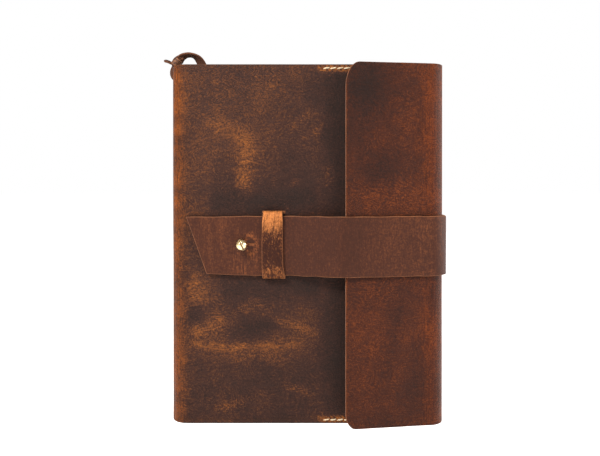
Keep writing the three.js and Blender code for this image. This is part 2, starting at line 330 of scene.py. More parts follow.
def line(a, b, n=60):
    t = np.linspace(0, 1, n)[:, None]
    return np.asarray(a, float) * (1 - t) + np.asarray(b, float) * t


SLOPE = math.radians(7.5)
U = np.array([-math.cos(SLOPE), -math.sin(SLOPE)])
NF = np.array([math.sin(SLOPE), -math.cos(SLOPE)])
CF = np.array([74.8, -9.5])
FLAP_LEN = 53.4


def flap_at(r, s):
    return CF + r * NF + s * U


COVER = Path(np.concatenate([
    line([75, -14.5], [-73.8, -14.5], 150),
    arc(-73.8, -5.5, 9, 270, 180),
    line([-82.8, -5.5], [-82.8, 5.5], 12),
    arc(-73.8, 5.5, 9, 180, 90),
    line([-73.8, 14.5], [74.8, 14.5], 150),
    arc(74.8, 6.5, 8, 90, 0),
    line([82.8, 6.5], [82.8, -9.5], 16),
    arc(74.8, -9.5, 8, 0, -82.5),
    line(flap_at(8, 0), flap_at(8, FLAP_LEN), 60),
]), flip=-1.0)
S_FRONT = 148.8
S_SP0 = S_FRONT + 9 * math.pi / 2
S_SP1 = S_SP0 + 11
S_BACK0 = S_SP1 + 9 * math.pi / 2
S_BACK1 = S_BACK0 + 148.6
S_WALL0 = S_BACK1 + 4 * math.pi
S_WALL1 = S_WALL0 + 16
S_FLAP0 = S_WALL1 + 8 * math.radians(82.5)
S_END = S_FLAP0 + FLAP_LEN


def rows(a, b, step, fine=(), fine_step=0.4, edge0=True, edge1=True):
    """Grid stations from a to b: close together at free edges and inside the fine spans."""
    out = [a]
    if edge0:
        out += [a + 0.15, a + 0.35, a + 0.6, a + 1.0]
    x = out[-1]
    stop = b - (1.0 if edge1 else 0.0)
    while x < stop - 1e-6:
        st = step
        for f0, f1 in fine:
            if f0 - step < x < f1:
                st = fine_step
        x = min(x + st, stop)
        out.append(x)
    if len(out) > 2 and out[-1] - out[-2] < 0.3 * step:
        out.pop(-2)
    if edge1:
        out += [b - 0.6, b - 0.35, b - 0.15, b]
    return np.array(out)


def edge_profile(d, r=0.55, flat=0.55):
    u = np.clip(d / r, 0, 1)
    return flat + (1 - flat) * np.sqrt(np.maximum(0, 1 - (1 - u) ** 2))


def grid_cells(ni, nj):
    idx = np.arange(ni * nj).reshape(ni, nj)
    return np.stack([idx[:-1, :-1], idx[1:, :-1], idx[1:, 1:], idx[:-1, 1:]], -1).reshape(-1, 4)


def sheet(name, s, z, cells, outer, inner, dist, attrs, mats, seam=None, tail=60.0):
    """A closed leather sheet. s, z are each vertex's place on the flat hide; outer and inner are
    its two faces; dist is how far it is from a cut edge; seam marks vertices where the hide
    carries on in the next piece, so that end is closed by a flat cap inside the leather."""
    n = len(s)
    cells = np.asarray(cells)
    e = np.concatenate([cells[:, [0, 1]], cells[:, [1, 2]], cells[:, [2, 3]], cells[:, [3, 0]]])
    key = np.sort(e, 1)
    _, inv, cnt = np.unique(key[:, 0].astype(np.int64) * n + key[:, 1], return_inverse=True, return_counts=True)
    rim = e[cnt[inv] == 1]
    walls = np.stack([rim[:, 1], rim[:, 0], rim[:, 0] + n, rim[:, 1] + n], 1)
    faces = np.concatenate([cells, cells[:, ::-1] + n, walls])
    both = {k: np.concatenate([v, v]) for k, v in attrs.items()}
    both["lp"] = np.concatenate([np.stack([s, z, np.zeros(n)], 1), np.stack([s, z, np.full(n, tail)], 1)])
    both["ed"] = np.concatenate([dist, dist])
    both["inn"] = np.concatenate([np.zeros(n), np.ones(n)])
    o = build(name, np.concatenate([outer, inner]), faces.tolist(), both, mats)
    if seam is not None:
        flat = seam[rim].all(1)
        m = o.data
        sm = np.ones(len(m.polygons), bool)
        sm[2 * len(cells):] = ~flat
        m.polygons.foreach_set("use_smooth", sm)
        marked = set()
        for a, b in rim[flat]:
            marked.add((min(a, b), max(a, b)))
            marked.add((min(a, b) + n, max(a, b) + n))
        ev = np.empty(len(m.edges) * 2, np.int64)
        m.edges.foreach_get("vertices", ev)
        ev = np.sort(ev.reshape(-1, 2), 1)
        sharp = np.fromiter(((int(a), int(b)) in marked for a, b in ev), bool, len(ev))
        m.edges.foreach_set("use_edge_sharp", sharp)
        m.update()
    return o


class Acc:
    """Gathers several closed shells into one mesh."""

    def __init__(self):
        self.v, self.f, self.a, self.n = [], [], {}, 0

    def add(self, verts, faces, **attrs):
        verts = np.asarray(verts, float)
        self.f += [[int(i) + self.n for i in f] for f in faces]
        self.v.append(verts)
        self.n += len(verts)
        for k, val in attrs.items():
            self.a.setdefault(k, []).append(np.asarray(val, float))

    def object(self, name, mats, smooth_shade=True):
        return build(name, np.concatenate(self.v), self.f,
                     {k: np.concatenate(v) for k, v in self.a.items()}, mats, smooth_shade)


def loft(rings, closed_ends=True):
    """Quads between rings of equal size, with one face closing each end when closed_ends is set."""
    rings = np.asarray(rings)
    m, k = rings.shape[:2]
    faces = []
    for i in range(m - 1):
        for j in range(k):
            j2 = (j + 1) % k
            faces.append([i * k + j, i * k + j2, (i + 1) * k + j2, (i + 1) * k + j])
    if closed_ends:
        faces.append([j for j in range(k)][::-1])
        faces.append([(m - 1) * k + j for j in range(k)])
    return rings.reshape(-1, 3), faces


def frames(pts, ref):
    """Tangent, side and up at each point of a path; ref is the wished side direction."""
    pts = np.asarray(pts, float)
    t = np.gradient(pts, axis=0)
    t /= np.linalg.norm(t, axis=1)[:, None]
    ref = np.broadcast_to(np.asarray(ref, float), pts.shape)
    b = ref - t * (ref * t).sum(1)[:, None]
    b /= np.linalg.norm(b, axis=1)[:, None]
    return t, b, np.cross(t, b)


def resample(pts, step):
    pts = np.asarray(pts, float)
    d = np.concatenate([[0], np.cumsum(np.linalg.norm(np.diff(pts, axis=0), axis=1))])
    n = max(2, int(round(d[-1] / step)) + 1)
    q = np.linspace(0, d[-1], n)
    return np.stack([np.interp(q, d, pts[:, k]) for k in range(pts.shape[1])], 1)


def spline(pts, step):
    """Catmull-Rom through the points, evenly resampled."""
    p = np.asarray(pts, float)
    p = np.concatenate([[2 * p[0] - p[1]], p, [2 * p[-1] - p[-2]]])
    out = []
    for i in range(1, len(p) - 2):
        t = np.linspace(0, 1, 24, endpoint=False)[:, None]
        a, b, c, d = p[i - 1], p[i], p[i + 1], p[i + 2]
        out.append(0.5 * ((2 * b) + (c - a) * t + (2 * a - 5 * b + 4 * c - d) * t ** 2 + (3 * b - a - 3 * c + d) * t ** 3))
    out.append(p[-2][None])
    return resample(np.concatenate(out), step)


def thong(acc, pts, side, width, thick, seed=0, taper=(0.0, 0.0)):
    """A flat cut strip of leather along a path. Its grain side faces the path's up vector."""
    pts = np.asarray(pts, float)
    t, b, n = frames(pts, side)
    length = np.concatenate([[0], np.cumsum(np.linalg.norm(np.diff(pts, axis=0), axis=1))])
    w, h, r = width / 2, thick / 2, min(0.28, thick * 0.3)
    sec = []
    for cx, cy, a0 in ((w - r, h - r, 0), (-w + r, h - r, 90), (-w + r, -h + r, 180), (w - r, -h + r, 270)):
        for a in (0, 45, 90):
            ang = math.radians(a0 + a)
            sec.append((cx + r * math.cos(ang), cy + r * math.sin(ang)))
        if a0 == 0:
            sec += [(w * 0.4, h * 1.04), (0, h * 1.06), (-w * 0.4, h * 1.04)]
        if a0 == 180:
            sec += [(-w * 0.4, -h * 1.02), (0, -h * 1.03), (w * 0.4, -h * 1.02)]
    sec = np.array(sec)
    k = len(sec)
    wob = 1 + 0.035 * waves(length, length * 0, 300 + seed, 3, 14)
    end = np.ones(len(pts))
    for e, d in ((taper[0], length), (taper[1], length[-1] - length)):
        if e > 0:
            end = np.minimum(end, np.sqrt(np.clip(1 - (1 - np.clip(d / e, 0, 1)) ** 2, 0.05, 1)))
    rings = pts[:, None] + b[:, None] * (sec[None, :, :1] * (wob * end)[:, None, None]) + n[:, None] * (sec[None, :, 1:] * end[:, None, None] ** 0.5)
    v, f = loft(rings)
    L = np.repeat(length, k)
    x = np.tile(sec[:, 0], len(pts))
    y = np.tile(sec[:, 1], len(pts))
    acc.add(v, f, lp=np.stack([L, x + 10 * seed, y], 1), ed=np.maximum(0, w - np.abs(x)) * 0.8 + 0.08,
            inn=(y < -h * 0.5).astype(float), wear=np.clip(0.25 + 0.5 * (np.abs(x) > w * 0.6), 0, 1) * np.ones(len(L)), deep=np.zeros(len(L)))


def slabs(name, x0, x1, z0, z1, y0, y1, layers, jitter, corner, seed, mats, round_left=False, gap=0.02):
    """A stack of leaves: each layer is its own thin slab with slightly different edges."""
    r = np.random.RandomState(seed)
    acc = Acc()
    ys = np.linspace(y0, y1, layers + 1)
    for i in range(layers):
        ja, jb, jc, jd = (r.rand(4) - 0.5) * 2 * jitter
        a, b, c, d = x0 + (ja if not round_left else 0), x1 - abs(jb), z0 + abs(jc), z1 - abs(jd)
        pts = []
        for cx, cz, a0, cr in ((b - corner, d - corner, 0, corner), (a + 0.01, d - 0.01, 90, 0.01),
                               (a + 0.01, c + 0.01, 180, 0.01), (b - corner, c + corner, 270, corner)):
            for q in np.linspace(0, 90, 7):
                ang = math.radians(a0 + q)
                pts.append((cx + cr * math.cos(ang), cz + cr * math.sin(ang)))
        pts = np.array(pts)
        lo_y, hi_y = ys[i] + gap / 2, ys[i + 1] - gap / 2
        rings = []
        for yy in (lo_y, hi_y):
            rings.append(np.stack([pts[:, 0], np.full(len(pts), yy), pts[:, 1]], 1))
        v, f = loft(rings)
        acc.add(v, f)
    return acc.object(name, mats, False)


# ------------------------------------------------------------------ materials


def srgb(r, g, b):
    """0-255 display values to linear."""
    f = lambda c: (c / 255 / 12.92) if c / 255 <= 0.04045 else ((c / 255 + 0.055) / 1.055) ** 2.4
    return (f(r), f(g), f(b), 1.0)


class Nodes:
    def __init__(self, name):
        self.m = bpy.data.materials.new(name)
        self.m.use_nodes = True
        self.t = self.m.node_tree
        self.t.nodes.clear()
        self.out = self.t.nodes.new("ShaderNodeOutputMaterial")
        self.b = self.t.nodes.new("ShaderNodeBsdfPrincipled")
        self.t.links.new(self.b.outputs[0], self.out.inputs["Surface"])

    def node(self, kind, **kw):
        n = self.t.nodes.new(kind)
        for k, v in kw.items():
            if k in n.inputs:
                pass
            setattr(n, k, v)
        return n

    def link(self, a, b):
        self.t.links.new(a, b)

    def put(self, sock, val):
        if isinstance(val, bpy.types.NodeSocket):
            self.link(val, sock)
        else:
            sock.default_value = val

    def attr(self, name, vector=False):
        n = self.node("ShaderNodeAttribute", attribute_name=name)
        return n.outputs["Vector"] if vector else n.outputs["Fac"]

    def math(self, op, a, b=None, c=None, clamp=False):
        n = self.node("ShaderNodeMath", operation=op, use_clamp=clamp)
        self.put(n.inputs[0], a)
        if b is not None:
            self.put(n.inputs[1], b)
        if c is not None:
            self.put(n.inputs[2], c)
        return n.outputs[0]

    def remap(self, v, a, b, c=0.0, d=1.0, kind="LINEAR"):
        n = self.node("ShaderNodeMapRange", interpolation_type=kind)
        self.put(n.inputs["Value"], v)
        for k, x in zip(("From Min", "From Max", "To Min", "To Max"), (a, b, c, d)):
            n.inputs[k].default_value = x
        return n.outputs[0]

    def scale(self, vec, k):
        n = self.node("ShaderNodeVectorMath", operation="MULTIPLY")
        self.put(n.inputs[0], vec)
        n.inputs[1].default_value = k
        return n.outputs[0]

    def noise(self, vec, scale, detail=3.0, rough=0.5, distort=0.0, kind="FBM"):
        n = self.node("ShaderNodeTexNoise", noise_dimensions="3D")
        self.put(n.inputs["Vector"], vec)
        n.inputs["Scale"].default_value = scale
        n.inputs["Detail"].default_value = detail
        n.inputs["Roughness"].default_value = rough
        n.inputs["Distortion"].default_value = distort
        return n.outputs["Fac"]

    def voronoi(self, vec, scale, feature="F1", smoothness=None, rand=1.0):
        n = self.node("ShaderNodeTexVoronoi", feature=feature)
        self.put(n.inputs["Vector"], vec)
        n.inputs["Scale"].default_value = scale
        n.inputs["Randomness"].default_value = rand
        if smoothness is not None:
            n.inputs["Smoothness"].default_value = smoothness
        return n.outputs["Distance"]

    def mix(self, f, a, b):
        n = self.node("ShaderNodeMix", data_type="RGBA")
        self.put(n.inputs[0], f)
        self.put(n.inputs[6], a)
        self.put(n.inputs[7], b)
        return n.outputs[2]

    def mixf(self, f, a, b):
        n = self.node("ShaderNodeMix", data_type="FLOAT")
        self.put(n.inputs[0], f)
        self.put(n.inputs[2], a)
        self.put(n.inputs[3], b)
        return n.outputs[0]

    def bump(self, height, dist, strength=1.0, normal=None):
        n = self.node("ShaderNodeBump")
        self.put(n.inputs["Height"], height)
        n.inputs["Distance"].default_value = dist
        n.inputs["Strength"].default_value = strength
        if normal is not None:
            self.put(n.inputs["Normal"], normal)
        return n.outputs[0]


def leather(name, dark, mid, light, raw, suede, grain=1.0, rough=0.5, mottle=1.0, grain_mm=0.8, streak=False, offset=(0, 0, 0), spec=0.09,
            tint=(1.0, 0.8, 0.5, 1), hair_run=(2.3, 0.10, 1.0), sheen=0.0, edge_var=0.0):
    """Waxed pull-up leather. It reads the sheet's own flat coordinates (lp, in mm), the
    distance from a cut edge (ed), which side it is (inn), a painted wear mask that on the flap's
    bend also holds a painted highlight, and a darkening mask of dark patches and painted shade."""
    n = Nodes(name)
    lp0 = n.attr("lp", True)
    add = n.node("ShaderNodeVectorMath", operation="ADD")
    n.put(add.inputs[0], lp0)
    add.inputs[1].default_value = offset
    lp = add.outputs[0]
    wear, ed, inn, deep, hair = n.attr("wear"), n.attr("ed"), n.attr("inn"), n.attr("deep"), n.attr("hair")
    big = n.noise(lp, 0.026, 3.0, 0.5, 0.5)
    med = n.noise(lp, 0.10, 4.0, 0.6, 0.8)
    fine = n.noise(lp, 0.74, 4.0, 0.68, 0.5)
    # dark hairlines that run up a rubbed fold
    hs = n.noise(n.scale(lp, hair_run), 0.9, 3.0, 0.62, 0.5)
    # finger-print wrinkles: level lines of a slow field, stirred a little by the fine one
    field = n.noise(lp, 0.050, 2.0, 0.45, 1.1)
    phase = n.math("MULTIPLY_ADD", field, 22.0, n.math("MULTIPLY", fine, 0.8))
    ridge = n.math("SINE", n.math("MULTIPLY", phase, 6.2832))
    ridge = n.math("MULTIPLY", ridge, n.remap(med, 0.38, 0.62, 0.25, 1.0))
    flow = n.noise(n.scale(lp, (0.34, 1.0, 1.0)), 0.070, 2.0, 0.45, 0.8)
    phase2 = n.math("MULTIPLY_ADD", flow, 26.0, n.math("MULTIPLY", fine, 0.9))
    line = n.math("MULTIPLY_ADD", n.math("SINE", n.math("MULTIPLY", phase2, 6.2832)), 0.5, 0.5)
    line = n.math("POWER", line, 1.7)
    # hair-fine pulled fibres and the wormy creases of a waxed grain
    st = n.noise(n.scale(lp, (0.45, 1.5, 1.0)) if not streak else n.scale(lp, (1.6, 0.22, 1.0)), 0.8, 5.0, 0.7, 1.4)
    wv = n.noise(lp, 0.52, 2.0, 0.55, 1.6)
    worm = n.math("SUBTRACT", 1.0, n.math("MULTIPLY", n.math("ABSOLUTE", n.math("SUBTRACT", wv, 0.5)), 11.0), clamp=True)
    wv2 = n.noise(n.scale(lp, (1.0, 0.8, 1.0)), 0.85, 2.0, 0.6, 1.2)
    worm2 = n.math("SUBTRACT", 1.0, n.math("MULTIPLY", n.math("ABSOLUTE", n.math("SUBTRACT", wv2, 0.5)), 9.0), clamp=True)
    worm = n.math("MAXIMUM", worm, n.math("MULTIPLY", worm2, 0.8))
    cell = n.voronoi(lp, 1.0 / grain_mm, "SMOOTH_F1", 0.35)
    cell2 = n.voronoi(lp, 0.42 / grain_mm, "DISTANCE_TO_EDGE")
    # tone 0 dark, 1 light
    if streak:
        k_big, k_med, k_fine, k_worm, k_ridge, k_st = 0.30, 0.16, 0.80, 0.06, 0.0, 0.75
    else:
        k_big, k_med, k_fine, k_worm, k_ridge, k_st = 0.42, 0.24, 0.62, 0.25, 0.085, 0.10
    tone = n.math("MULTIPLY_ADD", n.math("SUBTRACT", big, 0.5), k_big * mottle, 0.33)
    tone = n.math("MULTIPLY_ADD", n.math("SUBTRACT", med, 0.5), k_med * mottle, tone)
    tone = n.math("MULTIPLY_ADD", n.math("SUBTRACT", fine, 0.5), k_fine * mottle, tone)
    tone = n.math("MULTIPLY_ADD", n.math("SUBTRACT", worm, 0.42), k_worm * mottle, tone)
    tone = n.math("MULTIPLY_ADD", ridge, k_ridge * mottle, tone)
    tone = n.math("MULTIPLY_ADD", n.math("SUBTRACT", st, 0.5), k_st * mottle, tone)
    w = n.math("MULTIPLY", wear, n.mixf(hair, n.remap(fine, 0.30, 0.70, 0.10, 1.05), n.remap(fine, 0.30, 0.70, 0.62, 1.0)))
    w = n.math("MULTIPLY", w, n.mixf(hair, n.remap(st, 0.30, 0.70, 0.65, 1.30), n.remap(hs, 0.30, 0.70, 1.20, 0.62)))
    w = n.math("MULTIPLY", w, n.remap(med, 0.25, 0.75, 0.75, 1.20))
    if not streak:
        # the hide's fine wrinkles show as light lines in the pulled-up places
        calm = n.math("SUBTRACT", 1.0, hair, clamp=True)
        w = n.math("MULTIPLY", w, n.mixf(calm, 1.0, n.remap(line, 0.0, 1.0, 0.62, 1.55)))
        tone = n.math("MULTIPLY_ADD", n.math("MULTIPLY", n.math("SUBTRACT", line, 0.36), calm), 0.085 * mottle, tone)
    w = n.math("MULTIPLY_ADD", n.math("MULTIPLY", wear, worm), 0.22, w)
    tone = n.math("ADD", tone, w)
    tone = n.math("SUBTRACT", tone, n.math("MULTIPLY", hair, n.remap(hs, 0.53, 0.70, 0.0, 0.34)))
    # darker where the mask of dark hide patches and painted shade is set
    tone = n.math("SUBTRACT", tone, n.math("MULTIPLY", deep, 0.50), clamp=True)
    ramp = n.node("ShaderNodeValToRGB")
    el = ramp.color_ramp.elements
    el[0].position, el[0].color = 0.0, dark
    el[1].position, el[1].color = 1.0, light
    e = el.new(0.36)
    e.color = mid
    n.put(ramp.inputs[0], tone)
    col = ramp.outputs[0]
    tn = n.node("ShaderNodeMix", data_type="RGBA", blend_type="MULTIPLY")
    n.put(tn.inputs[0], hair)
    n.put(tn.inputs[6], col)
    tn.inputs[7].default_value = tint
    col = tn.outputs[2]
    # pits of the grain hold darker wax
    pit = n.remap(cell, 0.12, 0.62, 1.0, 0.62 + 0.1 * (1 - grain))
    pm = n.node("ShaderNodeMix", data_type="RGBA", blend_type="MULTIPLY")
    pm.inputs[0].default_value = 0.55 * min(1.0, grain)
    n.put(pm.inputs[6], col)
    gp = n.node("ShaderNodeCombineColor")
    for k in range(3):
        n.put(gp.inputs[k], pit)
    n.put(pm.inputs[7], gp.outputs[0])
    col = pm.outputs[2]
    # flesh side
    fib = n.noise(n.scale(lp, (1.0, 0.5, 1.0)), 1.6, 6.0, 0.7, 0.5)
    nap = n.math("MULTIPLY_ADD", med, 0.5, n.math("MULTIPLY", fib, 0.75))
    sue = n.mix(n.remap(nap, 0.46, 0.80), tuple(c * 0.58 for c in suede[:3]) + (1,), tuple(c * 1.18 for c in suede[:3]) + (1,))
    col = n.mix(inn, col, sue)
    # cut edge: bare fibre shows, worn a little unevenly
    edn = n.math("ADD", ed, n.math("MULTIPLY", n.math("SUBTRACT", fine, 0.5), 0.5))
    cut = n.remap(edn, 0.10, 0.42, 1.0, 0.0, "SMOOTHSTEP")
    cutc = n.mix(n.remap(st, 0.35, 0.65), tuple(c * 0.55 for c in raw[:3]) + (1,), raw)
    if edge_var:
        cut = n.math("MULTIPLY", cut, n.remap(n.noise(lp, 0.11, 3.0, 0.65), 0.36, 0.62, 1.0 - edge_var, 1.0))
    col = n.mix(cut, col, cutc)
    n.put(n.b.inputs["Base Color"], col)
    ro = n.remap(med, 0.3, 0.7, rough - 0.05, rough + 0.08)
    ro = n.math("MULTIPLY_ADD", wear, 0.10, ro)
    ro = n.mixf(inn, ro, 0.92)
    ro = n.mixf(cut, ro, 0.85)
    n.put(n.b.inputs["Roughness"], ro)
    n.put(n.b.inputs["Specular IOR Level"], n.mixf(inn, spec, 0.12))
    if sheen:
        n.b.inputs["Sheen Weight"].default_value = sheen
        n.b.inputs["Sheen Roughness"].default_value = 0.30
        n.b.inputs["Sheen Tint"].default_value = (1.0, 0.86, 0.80, 1)
    h = n.math("MULTIPLY", n.remap(cell, 0.0, 0.6, 1.0, 0.0), 0.55)
    h = n.math("MULTIPLY_ADD", n.remap(cell2, 0.0, 0.12, 0.0, 1.0), 0.35, h)
    h = n.math("MULTIPLY_ADD", n.noise(lp, 3.2, 3.0, 0.6), 0.35, h)
    h = n.math("MULTIPLY_ADD", st, 0.5, h)
    h = n.math("MULTIPLY_ADD", worm, 0.45, h)
    if not streak:
        h = n.math("MULTIPLY_ADD", ridge, 0.22, h)
        h = n.math("MULTIPLY_ADD", line, 0.40, h)
    hf = n.math("MULTIPLY_ADD", fib, 1.5, n.math("MULTIPLY", h, 0.3))
    h = n.mixf(inn, n.math("MULTIPLY", h, grain), hf)
    n.put(n.b.inputs["Normal"], n.bump(h, 0.00013, 1.0))
    return n.m


cover_mat = leather("cover_leather", dark=(0.0150, 0.0080, 0.0058, 1), mid=(0.0375, 0.0145, 0.0094, 1),
                    light=(0.215, 0.068, 0.0145, 1), raw=(0.085, 0.036, 0.019, 1), suede=(0.115, 0.055, 0.030, 1), rough=0.50,
                    tint=(0.96, 0.72, 0.36, 1), sheen=0.08)
flap_mat = leather("flap_leather", dark=(0.0150, 0.0062, 0.0040, 1), mid=(0.0405, 0.0100, 0.0040, 1),
                   light=(0.172, 0.037, 0.0060, 1), raw=(0.205, 0.066, 0.020, 1), suede=(0.105, 0.048, 0.026, 1), rough=0.48,
                   mottle=1.1, offset=(0, 0, 7), tint=(0.98, 0.90, 0.74, 1), sheen=0.20, edge_var=0.75)
strap_mat = leather("strap_leather", dark=(0.025, 0.0090, 0.0050, 1), mid=(0.0440, 0.0138, 0.0072, 1),
                    light=(0.160, 0.048, 0.0150, 1), raw=(0.29, 0.112, 0.045, 1), suede=(0.12, 0.055, 0.030, 1),
                    grain=0.35, rough=0.46, mottle=0.90, grain_mm=0.55, streak=True, offset=(0, 0, 20), sheen=0.05, edge_var=0.5)
keeper_mat = leather("keeper_leather", dark=(0.018, 0.0065, 0.0040, 1), mid=(0.0335, 0.0090, 0.0041, 1),
                     light=(0.53, 0.180, 0.048, 1), raw=(0.27, 0.100, 0.040, 1), suede=(0.12, 0.055, 0.030, 1),
                     grain=0.6, rough=0.5, mottle=0.6, grain_mm=0.6, streak=False, offset=(0, 0, 40),
                     tint=(1.0, 1.0, 1.0, 1), hair_run=(0.12, 2.2, 1.0))
lace_mat = leather("lace_leather", dark=(0.020, 0.0085, 0.0060, 1), mid=(0.060, 0.0225, 0.0130, 1),
                   light=(0.22, 0.090, 0.036, 1), raw=(0.115, 0.042, 0.020, 1), suede=(0.060, 0.024, 0.014, 1),
                   grain=0.6, rough=0.45, mottle=1.0, grain_mm=0.5, offset=(0, 0, 90), spec=0.22)
sleeve_mat = leather("sleeve_leather", dark=(0.026, 0.0125, 0.0085, 1), mid=(0.060, 0.026, 0.0155, 1),
                     light=(0.20, 0.078, 0.034, 1), raw=(0.25, 0.105, 0.045, 1), suede=(0.12, 0.06, 0.034, 1),
                     grain=0.8, rough=0.55, mottle=0.8, offset=(0, 0, 130))


def thread_material():
    n = Nodes("linen_thread")
    tc = n.node("ShaderNodeTexCoord").outputs["Object"]
    f = n.noise(tc, 2500, 3.0, 0.6)
    g = n.noise(tc, 420, 2.0, 0.5)
    col = n.mix(n.remap(f, 0.3, 0.7), (0.46, 0.32, 0.17, 1), (0.74, 0.64, 0.46, 1))
    col = n.mix(n.math("MULTIPLY", n.remap(g, 0.45, 0.75), 0.5), col, (0.50, 0.26, 0.11, 1))
    n.put(n.b.inputs["Base Color"], col)
    n.b.inputs["Roughness"].default_value = 0.6
    n.put(n.b.inputs["Normal"], n.bump(f, 0.00006))
    return n.m


def brass_material():
    n = Nodes("brass")
    tc = n.node("ShaderNodeTexCoord").outputs["Object"]
    f = n.noise(tc, 900, 3.0, 0.6)
    g = n.noise(tc, 160, 3.0, 0.6)
    grime = n.attr("grime")
    base = n.mix(n.remap(g, 0.35, 0.7), (0.90, 0.74, 0.44, 1), (0.74, 0.54, 0.25, 1))
    n.put(n.b.inputs["Base Color"], n.mix(grime, base, (0.17, 0.085, 0.030, 1)))
    n.put(n.b.inputs["Metallic"], n.math("SUBTRACT", 1.0, n.math("MULTIPLY", grime, 0.7)))
    n.put(n.b.inputs["Roughness"], n.math("ADD", n.remap(f, 0.3, 0.7, 0.16, 0.30), n.math("MULTIPLY", grime, 0.35)))
    n.put(n.b.inputs["Normal"], n.bump(f, 0.00002))
    return n.m


def paper_material():
    n = Nodes("paper")
    tc = n.node("ShaderNodeTexCoord").outputs["Object"]
    # edges of single leaves: thin lines across the block's thickness
    leaf = n.noise(n.scale(tc, (6.0, 5200.0, 6.0)), 1.0, 2.0, 0.6)
    fib = n.noise(tc, 1400, 4.0, 0.6)
    col = n.mix(n.remap(leaf, 0.3, 0.7), (0.27, 0.225, 0.155, 1), (0.42, 0.365, 0.275, 1))
    flat = n.attr("face")
    cloud = n.noise(tc, 45, 3.0, 0.5)
    page = n.mix(n.remap(fib, 0.3, 0.7), (0.335, 0.290, 0.215, 1), (0.385, 0.335, 0.250, 1))
    page = n.mix(n.remap(cloud, 0.35, 0.75, 0.0, 0.5), page, (0.345, 0.285, 0.200, 1))
    n.put(n.b.inputs["Base Color"], n.mix(flat, col, page))
    n.b.inputs["Roughness"].default_value = 0.85
    h = n.mixf(flat, leaf, n.math("MULTIPLY", fib, 0.15))
    n.put(n.b.inputs["Normal"], n.bump(h, 0.00012, 0.8))
    return n.m


def card_material():
    n = Nodes("card")
    tc = n.node("ShaderNodeTexCoord").outputs["Object"]
    f = n.noise(tc, 1100, 5.0, 0.65)
    g = n.noise(n.scale(tc, (1.0, 1.0, 0.4)), 90, 4.0, 0.6)
    col = n.mix(n.remap(f, 0.35, 0.65), (0.235, 0.145, 0.080, 1), (0.33, 0.215, 0.125, 1))
    col = n.mix(n.math("MULTIPLY", n.remap(g, 0.4, 0.8), 0.35), col, (0.20, 0.12, 0.065, 1))
    n.put(n.b.inputs["Base Color"], col)
    n.b.inputs["Roughness"].default_value = 0.88
    n.put(n.b.inputs["Normal"], n.bump(f, 0.00005))
    return n.m


thread_mat, brass_mat, paper_mat, card_mat = thread_material(), brass_material(), paper_material(), card_material()

# ------------------------------------------------------------------ wear maps, in mm on each hide


def pillow(x, a, b, soft):
    return smooth((x - a) / soft) * smooth((b - x) / soft)


